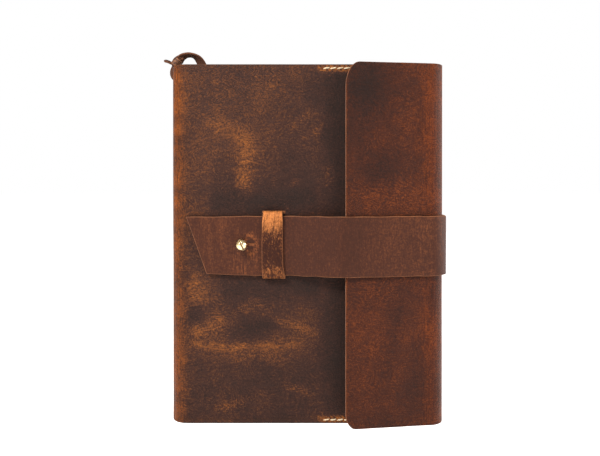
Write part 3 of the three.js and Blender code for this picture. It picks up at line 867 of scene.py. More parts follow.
def wear_and_shade_front(x, z):
    """Where the wax has pulled up and shows orange on the front panel, and where it is darker: dark patches of the
    hide, and painted shade beside and under the flap and below the strap.
    """
    w = 0.40 * stroke(x, z, [(-66, 186), (-54.5, 182.8), (-42.6, 178), (-36.0, 170.5)], 5.2, 0.2)
    w = np.maximum(w, 0.70 * stroke(x, z, [(-48, 180.5), (-37.5, 173), (-36.7, 158.3), (-38.6, 148.5), (-36.7, 137)], 5.8, 0.25))
    w = np.maximum(w, 0.20 * stroke(x, z, [(-15, 178.5), (-5.0, 185.7), (8.0, 192.5)], 3.4, 0.3))
    w = np.maximum(w, 0.45 * stroke(x, z, [(2.5, 176.5), (14.5, 188.0)], 0.9, 0.2))
    w = np.maximum(w, 0.30 * stroke(x, z, [(4.4, 181.2), (6.9, 171.4)], 1.6, 0.3))
    w = np.maximum(w, 0.34 * stroke(x, z, [(-11, 145.2), (-4.5, 149.5)], 1.6, 0.3))
    w = np.maximum(w, 0.34 * stroke(x, z, [(12, 160), (14, 142)], 3.0, 0.3))
    w = np.maximum(w, 0.50 * stroke(x, z, [(-30.5, 134.2), (-24.5, 131.6)], 0.8, 0.2))
    w = np.maximum(w, 0.40 * stroke(x, z, [(-13.5, 135.0), (-11.5, 131.0)], 0.8, 0.2))
    w = np.maximum(w, 0.17 * stroke(x, z, [(-66, 212), (-40, 206), (-14, 205)], 9.0, 0.2))
    w = np.maximum(w, 0.30 * stroke(x, z, [(-33, 212.9), (-26, 212.4)], 0.8, 0.2))
    # below the strap
    w = np.maximum(w, 0.62 * stroke(x, z, [(-80, 90), (-72, 84), (-64, 76)], 7.0, 0.1))
    w = np.maximum(w, 0.62 * stroke(x, z, [(-73, 54.5), (-62, 57.5), (-54, 61.5), (-49, 67)], 5.6, 0.2))
    w = np.maximum(w, (0.66 + 0.34 * waves(x * 0.22, z, 45, 1.1, 3.2, 14)) * stroke(x, z, [(-79, 50.4), (-63.6, 48.2), (-52.0, 46.9), (-39.8, 46.5), (-26.1, 46.8), (-10, 48.4), (4, 49.6)], 3.0, 0.22))
    w = np.maximum(w, 0.38 * stroke(x, z, [(-56, 43.5), (-40, 41), (-25, 42.5), (-13, 37)], 4.0, 0.25))
    w = np.maximum(w, 0.46 * stroke(x, z, [(-24, 66), (-12.5, 61.4), (-2.3, 58.7), (3.9, 56), (4.8, 48)], 2.8, 0.2))
    w = np.maximum(w, 0.36 * stroke(x, z, [(-42, 66), (-33, 72), (-26, 78)], 5.0, 0.3))
    w = np.maximum(w, 0.44 * stroke(x, z, [(-18, 25.5), (-3.7, 20.6), (8.5, 12.2)], 2.6, 0.25))
    w = np.maximum(w, 0.46 * stroke(x, z, [(-59, 8.6), (-46.6, 11.0), (-35, 14.2)], 3.2, 0.25))
    w = np.maximum(w, 0.12 * stroke(x, z, [(-32, 4), (-28, 16), (-30, 24)], 6.0, 0.2))
    
    d = 0.44 * np.exp(-(((x + 69.8) / 7.0) ** 2 + ((z - 67.0) / 6.5) ** 2))
    d = np.maximum(d, 0.42 * np.exp(-(((x + 28) / 14.0) ** 2 + ((z - 59) / 6.0) ** 2)))
    # painted shadow of the flap, from left of its free edge rightwards and under it
    d = np.maximum(d, 0.52 * smooth((x - 0) / 20) * smooth((z - 4.4) / 2.5) * smooth((215.6 - z) / 2.5))
    d = np.maximum(d, 0.17 * smooth((42 - z) / 10))
    d = np.maximum(d, 0.14 * pillow(x, -22, 20, 12) * pillow(z, 130, 200, 14))
    d = np.maximum(d, 0.25 * pillow(x, -8, 30, 14) * pillow(z, 180, 225, 18))
    # a dark band above the strap, and a painted shadow cast below the strap
    d = np.maximum(d, 0.40 * stroke(x, z, [(-62, 137), (-30, 135), (10, 138)], 9.0, 0.1))
    d = np.maximum(d, 0.44 * stroke(x, z, [(-56, 84), (-20, 84), (12, 83)], 9.0, 0.1))
    return w, d


def crease_front(x, z):
    """Raised and sunk folds of the worn hide, mm outwards."""
    h = 0.16 * waves(x, z * 0.8, 11, 26, 80, 10) + 0.035 * waves(x * 0.8, z, 12, 5, 12, 16)
    # bundles of fine wrinkles that run with each crease
    for pts, wd, amp, lam, seed in (
        ([(-79, 50.6), (-63.6, 48.4), (-52, 47.2), (-39.8, 46.8), (-26.1, 46.9), (-10, 48.4), (5, 49.8)], 3.6, 0.16, 1.7, 1),
        ([(-58, 44), (-40, 41.5), (-25, 43), (-12, 37)], 3.2, 0.09, 1.8, 2),
        ([(-18, 25.5), (-3.7, 20.6), (8.5, 12.2)], 3.0, 0.13, 1.6, 3),
        ([(-59, 8.6), (-46.6, 11.0), (-35, 14.2)], 2.6, 0.08, 1.6, 4),
        ([(2.5, 176.5), (14.5, 188.0)], 1.4, 0.16, 2.4, 5),
        ([(-24, 66), (-12.5, 61.4), (-2.3, 58.7), (3.9, 56), (4.8, 48)], 2.4, 0.08, 1.7, 6),
    ):
        d, t = seg_dist(x, z, pts)
        # signed-ish distance: use z offset from the line for the phase
        line_z = np.interp(x, [p[0] for p in pts], [p[1] for p in pts])
        off = (z - line_z) + 0.5 * waves(x * 0.35, z, 40 + seed, 5, 14, 8)
        h = h + amp * np.exp(-((d / wd) ** 2)) * np.sin(2 * math.pi * off / lam) * smooth(t / 0.12) * smooth((1 - t) / 0.12)
    d, t = seg_dist(x, z, [(-79, 50.6), (-52, 47.2), (-26.1, 46.9), (5, 49.8)])
    h = h - 0.22 * np.exp(-((d / 2.0) ** 2)) * smooth(t / 0.2) * smooth((1 - t) / 0.25)
    return h


def wear_and_highlight_flap(u, z):
    """u is the distance from the free edge towards the fold, 0 to 53.4, and on round the bend. The bands along the
    bend are rubbed wear and partly a painted highlight.
    """
    # orange bands along the bend: rubbed wear, made brighter at the rim of the bend as a painted highlight
    w = 0.46 * np.exp(-(((u - 52.0) / 6.0) ** 2)) * (0.78 + 0.22 * waves(u * 0.5, z, 71, 12, 60, 8))
    w = np.maximum(w, 0.72 * np.exp(-(((u - 62.5) / 4.0) ** 2)) * (0.85 + 0.15 * waves(u * 0.5, z, 72, 12, 60, 8)))
    w = np.maximum(w, 0.26 * stroke(u, z, [(8, 136), (28, 141), (48, 140)], 9.0, 0.1))
    w = np.maximum(w, 0.24 * stroke(u, z, [(36, 205), (40, 178), (50, 160)], 8.0, 0.2))
    w = np.maximum(w, 0.22 * stroke(u, z, [(4, 84), (22, 80), (34, 84)], 7.0, 0.2))
    w = np.maximum(w, 0.14 * stroke(u, z, [(10, 70), (12, 40), (16, 20)], 10.0, 0.1))
    w = np.maximum(w, 0.95 * np.exp(-(((u - 36.6) / 0.9) ** 2 + ((z - 15.8) / 0.5) ** 2)))
    w = np.maximum(w, 0.55 * np.exp(-(((u - 7.6) / 0.5) ** 2 + ((z - 71.5) / 1.3) ** 2)))
    d = 0.80 * np.exp(-(((u - 12) / 15.0) ** 2 + ((z - 204) / 17.0) ** 2))
    d = np.maximum(d, 0.30 * smooth((26 - u) / 16) * smooth((z - 158) / 22))
    d = np.maximum(d, 0.24 * stroke(u, z, [(10, 172), (16, 160), (30, 150)], 8.0, 0.2))
    d = np.maximum(d, 0.24 * stroke(u, z, [(34, 80), (30, 52), (22, 24)], 6.0, 0.2))
    d = np.maximum(d, 0.22 * stroke(u, z, [(46, 60), (44, 30), (40, 8)], 6.0, 0.2))
    d = np.maximum(d, 0.30 * np.exp(-(((u - 52.5) / 1.8) ** 2 + ((z - 73) / 10.0) ** 2)))
    return w, d


# ------------------------------------------------------------------ stitch rows

STITCH_PITCH = 4.2


def stitch_points(a, b, pitch=STITCH_PITCH):
    a, b = np.asarray(a, float), np.asarray(b, float)
    n = int(round(np.linalg.norm(b - a) / pitch))
    return [a + (b - a) * i / n for i in range(n + 1)]


TOP_F = stitch_points((9.8, 217.6), (72.8, 217.6))
BOT_F = stitch_points((9.8, 2.4), (72.8, 2.4))
SIDE_F = stitch_points((73.3, 6.4), (73.3, 213.6))
TOP_B, BOT_B, SIDE_B = TOP_F, BOT_F, SIDE_F
ANCHOR = [stitch_points((22, 122), (50, 122)), stitch_points((22, 96.5), (50, 96.5)),
          stitch_points((22, 96.5), (22, 122)), stitch_points((50, 96.5), (50, 122))]


def holes_mask(x, z, rows_, size=0.5):
    m = np.zeros(x.shape)
    near = np.zeros(x.shape)
    for row in rows_:
        for p in row:
            if not (x.min() - 2 < p[0] < x.max() + 2):
                continue
            d2 = (x - p[0]) ** 2 + (z - p[1]) ** 2
            m = np.maximum(m, np.exp(-d2 / size ** 2))
            near = np.maximum(near, np.exp(-d2 / 1.5 ** 2))
    return m, near


def stitch(acc, p0, p1, out, lift=0.34, sink=0.55, r=0.27, turns=1.4, seed=0):
    """One visible stitch: two plies of waxed linen twisted together, diving into an awl hole at
    each end."""
    p0, p1, out = np.asarray(p0, float), np.asarray(p1, float), np.asarray(out, float)
    m = 13
    t = np.linspace(0, 1, m)
    hgt = -sink + (lift + sink) * np.clip(np.sin(np.pi * t), 0, 1) ** 0.55
    mid = p0 + (p1 - p0) * t[:, None] + out * hgt[:, None]
    tt, bb, nn = frames(mid, out)
    rr = np.random.RandomState(900 + seed)
    ph0 = rr.rand() * 6.283
    fat = r * (0.72 + 0.28 * np.sin(np.pi * np.clip(t, 0.04, 0.96)) ** 0.5)
    for ply in (0, math.pi):
        ph = ph0 + ply + 2 * math.pi * turns * t
        c = mid + (bb * np.cos(ph)[:, None] + nn * np.sin(ph)[:, None]) * (0.62 * fat)[:, None]
        rings = []
        for i in range(m):
            a = np.linspace(0, 2 * math.pi, 8, endpoint=False)
            rings.append(c[i] + (np.cos(a)[:, None] * bb[i] + np.sin(a)[:, None] * nn[i]) * fat[i] * 0.78)
        v, f = loft(rings)
        acc.add(v, f)


def stitch_row(acc, row, y, out_y, slant, seed=0, gap=0.30, **kw):
    """Stitches along a row of holes at depth y; slant tips each one across the row."""
    row = [np.asarray(p) for p in row]
    for i in range(len(row) - 1):
        a, b = row[i], row[i + 1]
        d = (b - a) / np.linalg.norm(b - a)
        side = np.array([-d[1], d[0]])
        a2, b2 = a + d * gap - side * slant, b - d * gap + side * slant
        stitch(acc, (a2[0], y, a2[1]), (b2[0], y, b2[1]), (0, out_y, 0), seed=seed + i, **kw)


# ------------------------------------------------------------------ the wrap-round hide


def hide_rows(lo_fine=(0.8, 4.4), hi_fine=(215.6, 219.2), step=1.1):
    return rows(0.0, HEIGHT, step, fine=(lo_fine, hi_fine), fine_step=0.45)


def cover_piece(name, s_st, s_lo, s_hi, free_lo, free_hi, mats, extra):
    """One stretch of the hide between two stations of the COVER path."""
    z_st = hide_rows()
    S, Z0 = np.meshgrid(s_st, z_st, indexing="ij")
    zlo, zhi = np.zeros_like(S), np.full_like(S, HEIGHT)
    dist = np.minimum(Z0, HEIGHT - Z0)
    if free_hi:  # the flap's free edge has rounded corners
        end = S_END
        u = end - S
        for top, (ea, eb) in ((True, (8.5, 15.0)), (False, (6.5, 9.0))):
            q = np.clip((ea - u) / ea, 0, 1)
            drop = eb * (1 - np.sqrt(np.maximum(0, 1 - q * q)))
            if top:
                zhi = zhi - drop
            else:
                zlo = zlo + drop
        Z = Z0.copy()
        top_half = Z0 > HEIGHT / 2
        Z = np.where(top_half, HEIGHT / 2 + (Z0 - HEIGHT / 2) * (zhi - HEIGHT / 2) / (HEIGHT / 2),
                     HEIGHT / 2 - (HEIGHT / 2 - Z0) * (HEIGHT / 2 - zlo) / (HEIGHT / 2))
        dist = np.minimum(np.minimum(Z - zlo, zhi - Z), u)
        for top, (ea, eb) in ((True, (8.5, 15.0)), (False, (6.5, 9.0))):
            dx_ = np.clip(ea - u, 0, None) / ea
            dz_ = np.clip((Z - (HEIGHT - eb)) if top else (eb - Z), 0, None) / eb
            inside = (dx_ > 0) & (dz_ > 0)
            f = np.hypot(dx_, dz_)
            g = np.hypot(dx_ / ea, dz_ / eb) / np.maximum(f, 1e-6)
            dist = np.where(inside, np.maximum(0, (1 - f)) / np.maximum(g, 1e-6), dist)
        dist = np.maximum(dist, 0)
    else:
        Z = Z0
    s, z, dist = S.ravel(), Z.ravel(), dist.ravel()
    mid, nrm = COVER.pos(s), COVER.nrm(s)
    disp, fine_disp, wear, deep = extra(s, z)
    # every stretch settles flat where it meets the next one, so the joins match
    for cut, free in ((s_lo, free_lo), (s_hi, free_hi)):
        if not free:
            k = smooth(np.abs(s - cut) / 3.0)
            disp, fine_disp = disp * k, fine_disp * k
    h = 1.0 * edge_profile(dist)
    out = mid + nrm * (h + disp + fine_disp)[:, None]
    inn = mid - nrm * (h - 0.5 * disp)[:, None]
    outer = np.stack([out[:, 0], out[:, 1], z], 1)
    inner = np.stack([inn[:, 0], inn[:, 1], z], 1)
    seam = (np.abs(s - s_lo) < 1e-6) * (not free_lo) + (np.abs(s - s_hi) < 1e-6) * (not free_hi) > 0
    cells = grid_cells(len(s_st), len(z_st))
    # how far each place belongs to a rubbed fold, where the wear runs in hairlines
    hair = np.maximum(np.exp(-(((s - (S_FRONT + 7.0)) / 6.4) ** 2)), np.exp(-(((s - (S_BACK0 - 7.0)) / 6.4) ** 2)))
    hair = np.maximum(hair, np.maximum(0.9 * np.exp(-(((s - (S_BACK1 + 6)) / 6.0) ** 2)), 0.95 * np.exp(-(((s - (S_FLAP0 + 1.5)) / 7.0) ** 2))))
    return sheet(name, s, z, cells, outer, inner, dist,
                 {"wear": np.clip(wear * 0.56, 0, 1.2), "deep": np.clip(deep, 0, 1), "hair": hair}, mats, seam)


def stations(*spans):
    """Grid stations: (from, to, step) spans joined end to end."""
    out = []
    for a, b, st in spans:
        n = max(1, int(round((b - a) / st)))
        out += list(np.linspace(a, b, n, endpoint=False))
    out.append(spans[-1][1])
    return np.array(out)


S_SPM = (S_SP0 + S_SP1) / 2
S_BM = S_BACK0 + 73.8
S_WM = (S_WALL0 + S_WALL1) / 2


def spine_wear(s):
    """The rounded spine edges are rubbed orange along their whole height."""
    return np.exp(-(((s - (S_FRONT + 7.5)) / 6.6) ** 2)), np.exp(-(((s - (S_BACK0 - 7.0)) / 6.6) ** 2))


def extra_front(s, z):
    x = 75.0 - s
    flat = smooth((S_FRONT + 4 - s) / 8)
    disp = crease_front(x, z) * flat
    k = smooth(np.minimum(z, HEIGHT - z) / 6.0)
    disp = disp * (0.25 + 0.75 * k)
    m, near = holes_mask(x, z, [TOP_F, BOT_F, SIDE_F], 0.55)
    fine_d = -0.30 * m - 0.10 * near
    # the hide is pulled in round the keeper's two slits
    for zc in (130.6, 89.0):
        d = np.hypot(np.maximum(0, np.abs(x + 20.25) - 6.5), z - zc)
        fine_d = fine_d - 0.28 * np.exp(-((d / 1.6) ** 2))
    w, dk = wear_and_shade_front(x, z)
    w, dk = w * flat, dk * flat
    e1, e2 = spine_wear(s)
    stripe = 0.78 + 0.22 * waves(s * 0.4, z, 21, 10, 70, 10)
    w = np.maximum(w, (0.92 * e1 * stripe))
    # hairline scratches up the fold
    w = w + 0.18 * np.exp(-(((s - (S_FRONT + 9)) / 7.0) ** 2)) * waves(s * 3.0, z * 0.35, 22, 2.0, 7.0, 12)
    w = np.maximum(w, 0.55 * near * (x > 5) * (0.6 + 0.4 * waves(x, z, 23, 2, 5, 8)))
    for zc_, amp_ in ((217.5, 1.75), (2.6, 1.35)):
        band = np.exp(-(((z - zc_) / 1.9) ** 4)) * pillow(x, 5.6, 31, 2.4)
        w = np.maximum(w, amp_ * band * np.clip(0.78 + 0.45 * waves(x, z * 0.7, 24, 1.2, 3.2, 10), 0, 1.3))
    v = np.minimum(np.hypot(x - 12.6 + (z - 214.4) * 0.9, (z - 214.6) * 0.35), np.hypot(x - 15.8 - (z - 214.4) * 0.9, (z - 214.6) * 0.35))
    w = np.maximum(w, 0.6 * np.exp(-((v / 0.55) ** 2)) * (z < 216.6) * (z > 213.2))
    return disp, fine_d, w, dk


def extra_back(s, z):
    x = -73.8 + (s - S_BACK0)
    flat = smooth((s - (S_BACK0 - 4)) / 8) * smooth((S_BACK1 + 4 - s) / 8)
    disp = (0.16 * waves(x, z * 0.8, 31, 26, 80, 10) + 0.035 * waves(x * 0.8, z, 32, 5, 12, 16)) * flat
    for pts, wd, amp, lam, seed in (
        ([(-60, 160), (-30, 166), (0, 158)], 3.2, 0.12, 1.7, 1),
        ([(-70, 40), (-40, 34), (-10, 38), (12, 50)], 3.4, 0.12, 1.7, 2),
        ([(-20, 190), (10, 200), (40, 196)], 2.6, 0.09, 1.7, 3),
    ):
        d, t = seg_dist(x, z, pts)
        off = (z - np.interp(x, [p[0] for p in pts], [p[1] for p in pts])) + 0.5 * waves(x * 0.35, z, 50 + seed, 5, 14, 8)
        disp = disp + amp * np.exp(-((d / wd) ** 2)) * np.sin(2 * math.pi * off / lam) * smooth(t / 0.12) * smooth((1 - t) / 0.12)
    k = smooth(np.minimum(z, HEIGHT - z) / 6.0)
    disp = disp * (0.25 + 0.75 * k)
    m, near = holes_mask(x, z, [TOP_B, BOT_B, SIDE_B], 0.55)
    fine_d = -0.30 * m - 0.10 * near
    w = 0.60 * stroke(x, z, [(-66, 150), (-46, 160), (-28, 166), (0, 158)], 6.0, 0.25)
    w = np.maximum(w, 0.70 * stroke(x, z, [(-74, 42), (-40, 34), (-10, 38), (14, 52)], 4.0, 0.25))
    w = np.maximum(w, 0.40 * stroke(x, z, [(-24, 188), (10, 200), (44, 194)], 6.0, 0.3))
    w = np.maximum(w, 0.34 * stroke(x, z, [(20, 70), (46, 60), (62, 30)], 8.0, 0.3))
    w = np.maximum(w, 0.28 * stroke(x, z, [(-60, 90), (-50, 110), (-30, 120)], 9.0, 0.3))
    dk = 0.30 * np.exp(-(((x - 30) / 22.0) ** 2 + ((z - 160) / 24.0) ** 2))
    dk = np.maximum(dk, 0.28 * np.exp(-(((x + 50) / 20.0) ** 2 + ((z - 70) / 20.0) ** 2)))
    dk = np.maximum(dk, 0.24 * stroke(x, z, [(10, 109), (76, 109)], 22.0, 0.05))
    e1, e2 = spine_wear(s)
    stripe = 0.78 + 0.22 * waves(s * 0.4, z, 21, 10, 70, 10)
    edge_b = np.exp(-(((s - (S_BACK1 + 6)) / 5.5) ** 2))
    w = np.maximum(w * flat, np.maximum(0.66 * e2, np.maximum(0.70 * e1, 0.5 * edge_b)) * stripe)
    w = np.maximum(w, 0.5 * near * (0.6 + 0.4 * waves(x, z, 23, 2, 5, 8)))
    return disp, fine_d, w, dk * flat


def extra_flap(s, z):
    u = S_END - s
    flat = smooth((s - (S_FLAP0 - 4)) / 8)
    disp = (0.15 * waves(u, z * 0.7, 61, 24, 80, 10) + 0.03 * waves(u, z, 62, 5, 12, 16)) * flat
    # the strap draws the flap in a touch where it crosses, and the flap bellies between
    disp = disp - 0.20 * pillow(z, 84, 134, 12) * flat
    w, dk = wear_and_highlight_flap(u, z)
    edge_b = np.exp(-(((s - (S_BACK1 + 6)) / 5.5) ** 2))
    w = np.maximum(w, 0.5 * edge_b * (0.78 + 0.22 * waves(s * 0.4, z, 21, 10, 70, 10)))
    w = np.maximum(w, 0.5 * np.exp(-((u / 0.9) ** 2)) * (0.8 + 0.3 * waves(z, u, 64, 3, 20, 8)))
    w = np.maximum(w, 0.7 * np.exp(-((z / 1.0) ** 2)) * pillow(u, 4, 30, 6) * (0.6 + 0.5 * waves(u, z, 65, 2, 9, 8)))
    w = np.maximum(w, 0.6 * np.exp(-(((220 - z) / 0.8) ** 2)) * pillow(u, 30, 46, 6) * 0.6)
    return disp, np.zeros_like(disp), w, dk


cover_front = cover_piece(
    "cover_front",
    np.concatenate([[0, 0.15, 0.35, 0.6], stations((1.0, 66.6, 0.75), (66.6, 146.0, 1.15), (146.0, S_SP0, 0.55), (S_SP0, S_SPM - 0.9, 0.8), (S_SPM - 0.9, S_SPM, 0.22))]),
    0.0, S_SPM, True, False, [cover_mat], extra_front)
cover_back_left = cover_piece(
    "cover_back_spine",
    stations((S_SPM, S_SPM + 0.9, 0.22), (S_SPM + 0.9, S_SP1, 0.8), (S_SP1, S_BACK0 + 1, 0.55), (S_BACK0 + 1, S_BM - 0.9, 1.15), (S_BM - 0.9, S_BM, 0.22)),
    S_SPM, S_BM, False, False, [cover_mat], extra_back)
cover_back_right = cover_piece(
    "cover_back_edge",
    stations((S_BM, S_BM + 0.9, 0.22), (S_BM + 0.9, S_BACK1, 0.85), (S_BACK1, S_WALL0, 0.5), (S_WALL0, S_WM - 0.9, 0.8), (S_WM - 0.9, S_WM, 0.22)),
    S_BM, S_WM, False, False, [cover_mat], extra_back)
flap_corner = [S_END - 8.5 * (1 - math.sin(math.radians(a))) for a in np.linspace(0, 90, 15)]
cover_flap = cover_piece(
    "cover_flap",
    np.unique(np.round(np.concatenate([
        stations((S_WM, S_WM + 0.9, 0.22), (S_WM + 0.9, S_WALL1, 0.8), (S_WALL1, S_FLAP0, 0.5), (S_FLAP0, S_END - 8.5, 0.9))[:-1],
        np.array(flap_corner), [S_END - 1.0, S_END - 0.6, S_END - 0.35, S_END - 0.15]]), 5)),
    S_WM, S_END, False, True, [flap_mat], extra_flap)

PV = lambda x, y, z=110.0: tuple(M([x, y, z]))
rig.blend(cover_front, "spine", "front_cover", PV(-83.8, -5.5), PV(-73.8, -15.5))
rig.blend(cover_back_left, "back_cover", "spine", PV(-73.8, 15.5), PV(-83.8, 5.5))
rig.blend(cover_back_right, "back_cover", "fore_edge", PV(74.8, 15.5), PV(83.8, 6.5))
fe = flap_at(9, 0)
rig.blend(cover_flap, "fore_edge", "flap", PV(83.8, -9.2), PV(fe[0], fe[1]))
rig.replaces(cover_front, "front_panel", "front_fold", "spine_panel")
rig.replaces(cover_back_left, "back_panel", "back_fold")
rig.replaces(cover_back_right, "fore_edge_back_fold", "fore_edge_wall")
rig.replaces(cover_flap, "flap_fold", "flap_panel")
for o in (cover_front, cover_back_left, cover_back_right):
    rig.slot(o, "cover_leather")
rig.slot(cover_flap, "flap_leather")

# ------------------------------------------------------------------ strap
TIP_X0, TIP_TOP, TIP_BOT = -27.5, -73.4, -61.0
SZ0, SZ1 = 91.2, 127.3


def relax(p, window, times=2):
    p = resample(p, 0.4)
    k = int(window / 0.4) | 1
    for _ in range(times):
        pad = np.concatenate([np.repeat(p[:1], k // 2, 0), p, np.repeat(p[-1:], k // 2, 0)])
        q = np.stack([np.convolve(pad[:, c], np.ones(k) / k, "valid") for c in range(2)], 1)
        f = smooth(np.minimum(np.arange(len(p)), np.arange(len(p))[::-1]) / (2.0 * k))[:, None]
        p = p * (1 - f) + q * f
    return p


front_run = relax(np.concatenate([
    line(flap_at(10.4, 20), flap_at(10.4, 53.2), 40),
    np.array([[19.6, -27.0], [16.6, -26.3], [13, -25.1], [-5, -19.2], [-10, -17.85]]),
    line([-13, -17.8], [TIP_X0 - 1.5, -17.8], 20)]), 4.0)
STRAP = Path(np.concatenate([
    line([16, 16.9], [74.8, 16.9], 60),
    arc(74.8, 6.5, 10.4, 90, 0),
    line([85.2, 6.5], [85.2, -9.5], 20),
    arc(74.8, -9.5, 10.4, 0, -82.5),
    line(flap_at(10.4, 0), flap_at(10.4, 19.8), 20),
    front_run,
    line([TIP_X0 - 2, -17.8], [TIP_TOP, -17.8], 60)]), flip=-1.0)
# stations of the strap where it turns or changes body
i_side = int(np.argmin(np.hypot(STRAP.p[:, 0] - 85.2, STRAP.p[:, 1] + 1.5)))
T_SIDE = STRAP.s[i_side]
T_ARC0 = 58.8
T_ARC1 = T_ARC0 + 10.4 * math.pi / 2
T_ARC2 = T_ARC1 + 16
T_FRONT = T_ARC2 + 10.4 * math.radians(82.5)
T_END = STRAP.length
T_SEAM = T_END - (TIP_X0 + 7.3 - TIP_TOP)   # inside the keeper, on the straight run
STUD_X, STUD_Z = -39.4, 110.2
HOLE_S, HOLE_Z = T_END - (STUD_X - TIP_TOP), STUD_Z
SLIT_S = T_END - (-32.4 - TIP_TOP)
HALO_S = T_END - (-34.2 - TIP_TOP)


def strap_extra(s, z):
    disp = 0.05 * waves(s, z * 0.6, 81, 18, 60, 10) + 0.015 * waves(s, z, 82, 3, 8, 12)
    # the two long edges roll over very slightly
    edge = np.minimum(z - SZ0, SZ1 - z)
    disp = disp - 0.10 * np.exp(-edge / 1.2)
    dx, dz = s - HOLE_S, z - HOLE_Z
    r = np.hypot(dx, dz)
    # leather stretched over the stud's ball each time it closes: it stands up round the hole and
    # the slit, and is crumpled into small puckers there
    hx, hz = (s - HALO_S) / 4.6, dz / 6.8
    q = np.hypot(hx, hz)
    ang = np.arctan2(hz, hx)
    ring = np.exp(-(((q - 0.78) / 0.27) ** 2))
    puck = waves(s * 1.0, z * 0.8, 88, 1.0, 2.1, 22)
    lift = 0.55 * np.exp(-((r / 4.4) ** 2)) + 0.30 * np.exp(-(q / 0.8) ** 2)
    disp = disp + lift + 0.13 * ring * puck
    w = 1.15 * ring * np.clip(0.50 + 0.75 * puck, 0.1, 1.3) * smooth((HALO_S + 4.6 - s) / 3.0)
    w = np.maximum(w, 0.30 * np.exp(-((q / 0.9) ** 4)) * np.clip(0.6 + 0.5 * puck, 0, 1.2))
    w = np.maximum(w, 1.9 * np.exp(-((dz / 0.60) ** 2)) * pillow(s, SLIT_S - 0.6, HOLE_S - 1.6, 0.8))
    # rubbed streaks under the stud and up to the keeper
    st = np.clip(waves(s, z * 0.10, 84, 0.9, 3.0, 16), 0, 2)
    w = np.maximum(w, 0.52 * st * np.exp(-(((s - HALO_S - 4) / 7.0) ** 2)) * pillow(z, 90, 107, 5))
    w = np.maximum(w, 0.13 * st * pillow(s, HOLE_S + 4, HOLE_S + 18, 5) * smooth((z - 112) / 8))
    w = np.maximum(w, 0.05 + 0.04 * np.clip(waves(s, z * 0.2, 85, 4, 14, 12), 0, 2))
    w = np.maximum(w, 0.20 * np.exp(-(((s - (T_FRONT + 6)) / 9.0) ** 2)) * (0.6 + 0.5 * waves(s, z, 86, 3, 9, 10)))
    w = np.maximum(w, 0.30 * np.exp(-(((s - (T_ARC0 + 6)) / 7.0) ** 2)) * (0.6 + 0.5 * waves(s, z, 87, 3, 9, 10)))
    dk = 0.16 * np.exp(-(((s - (T_FRONT + 50)) / 10.0) ** 2)) + 0.10 * pillow(s, T_FRONT + 58, T_END - 58, 10)
    dk = np.maximum(dk, 0.55 * np.exp(-((q / 0.52) ** 2)) * (np.abs(dz) > 0.9))
    return disp, w, dk


def tip_limit(s, z):
    """How far past the slanted end a point is (positive inside the strap), in mm."""
    slope = (TIP_BOT - TIP_TOP) / (SZ1 - SZ0)
    end_x = TIP_TOP + (SZ1 - z) * slope
    x = TIP_TOP + (T_END - s)
    return (x - end_x) / math.hypot(1, slope)


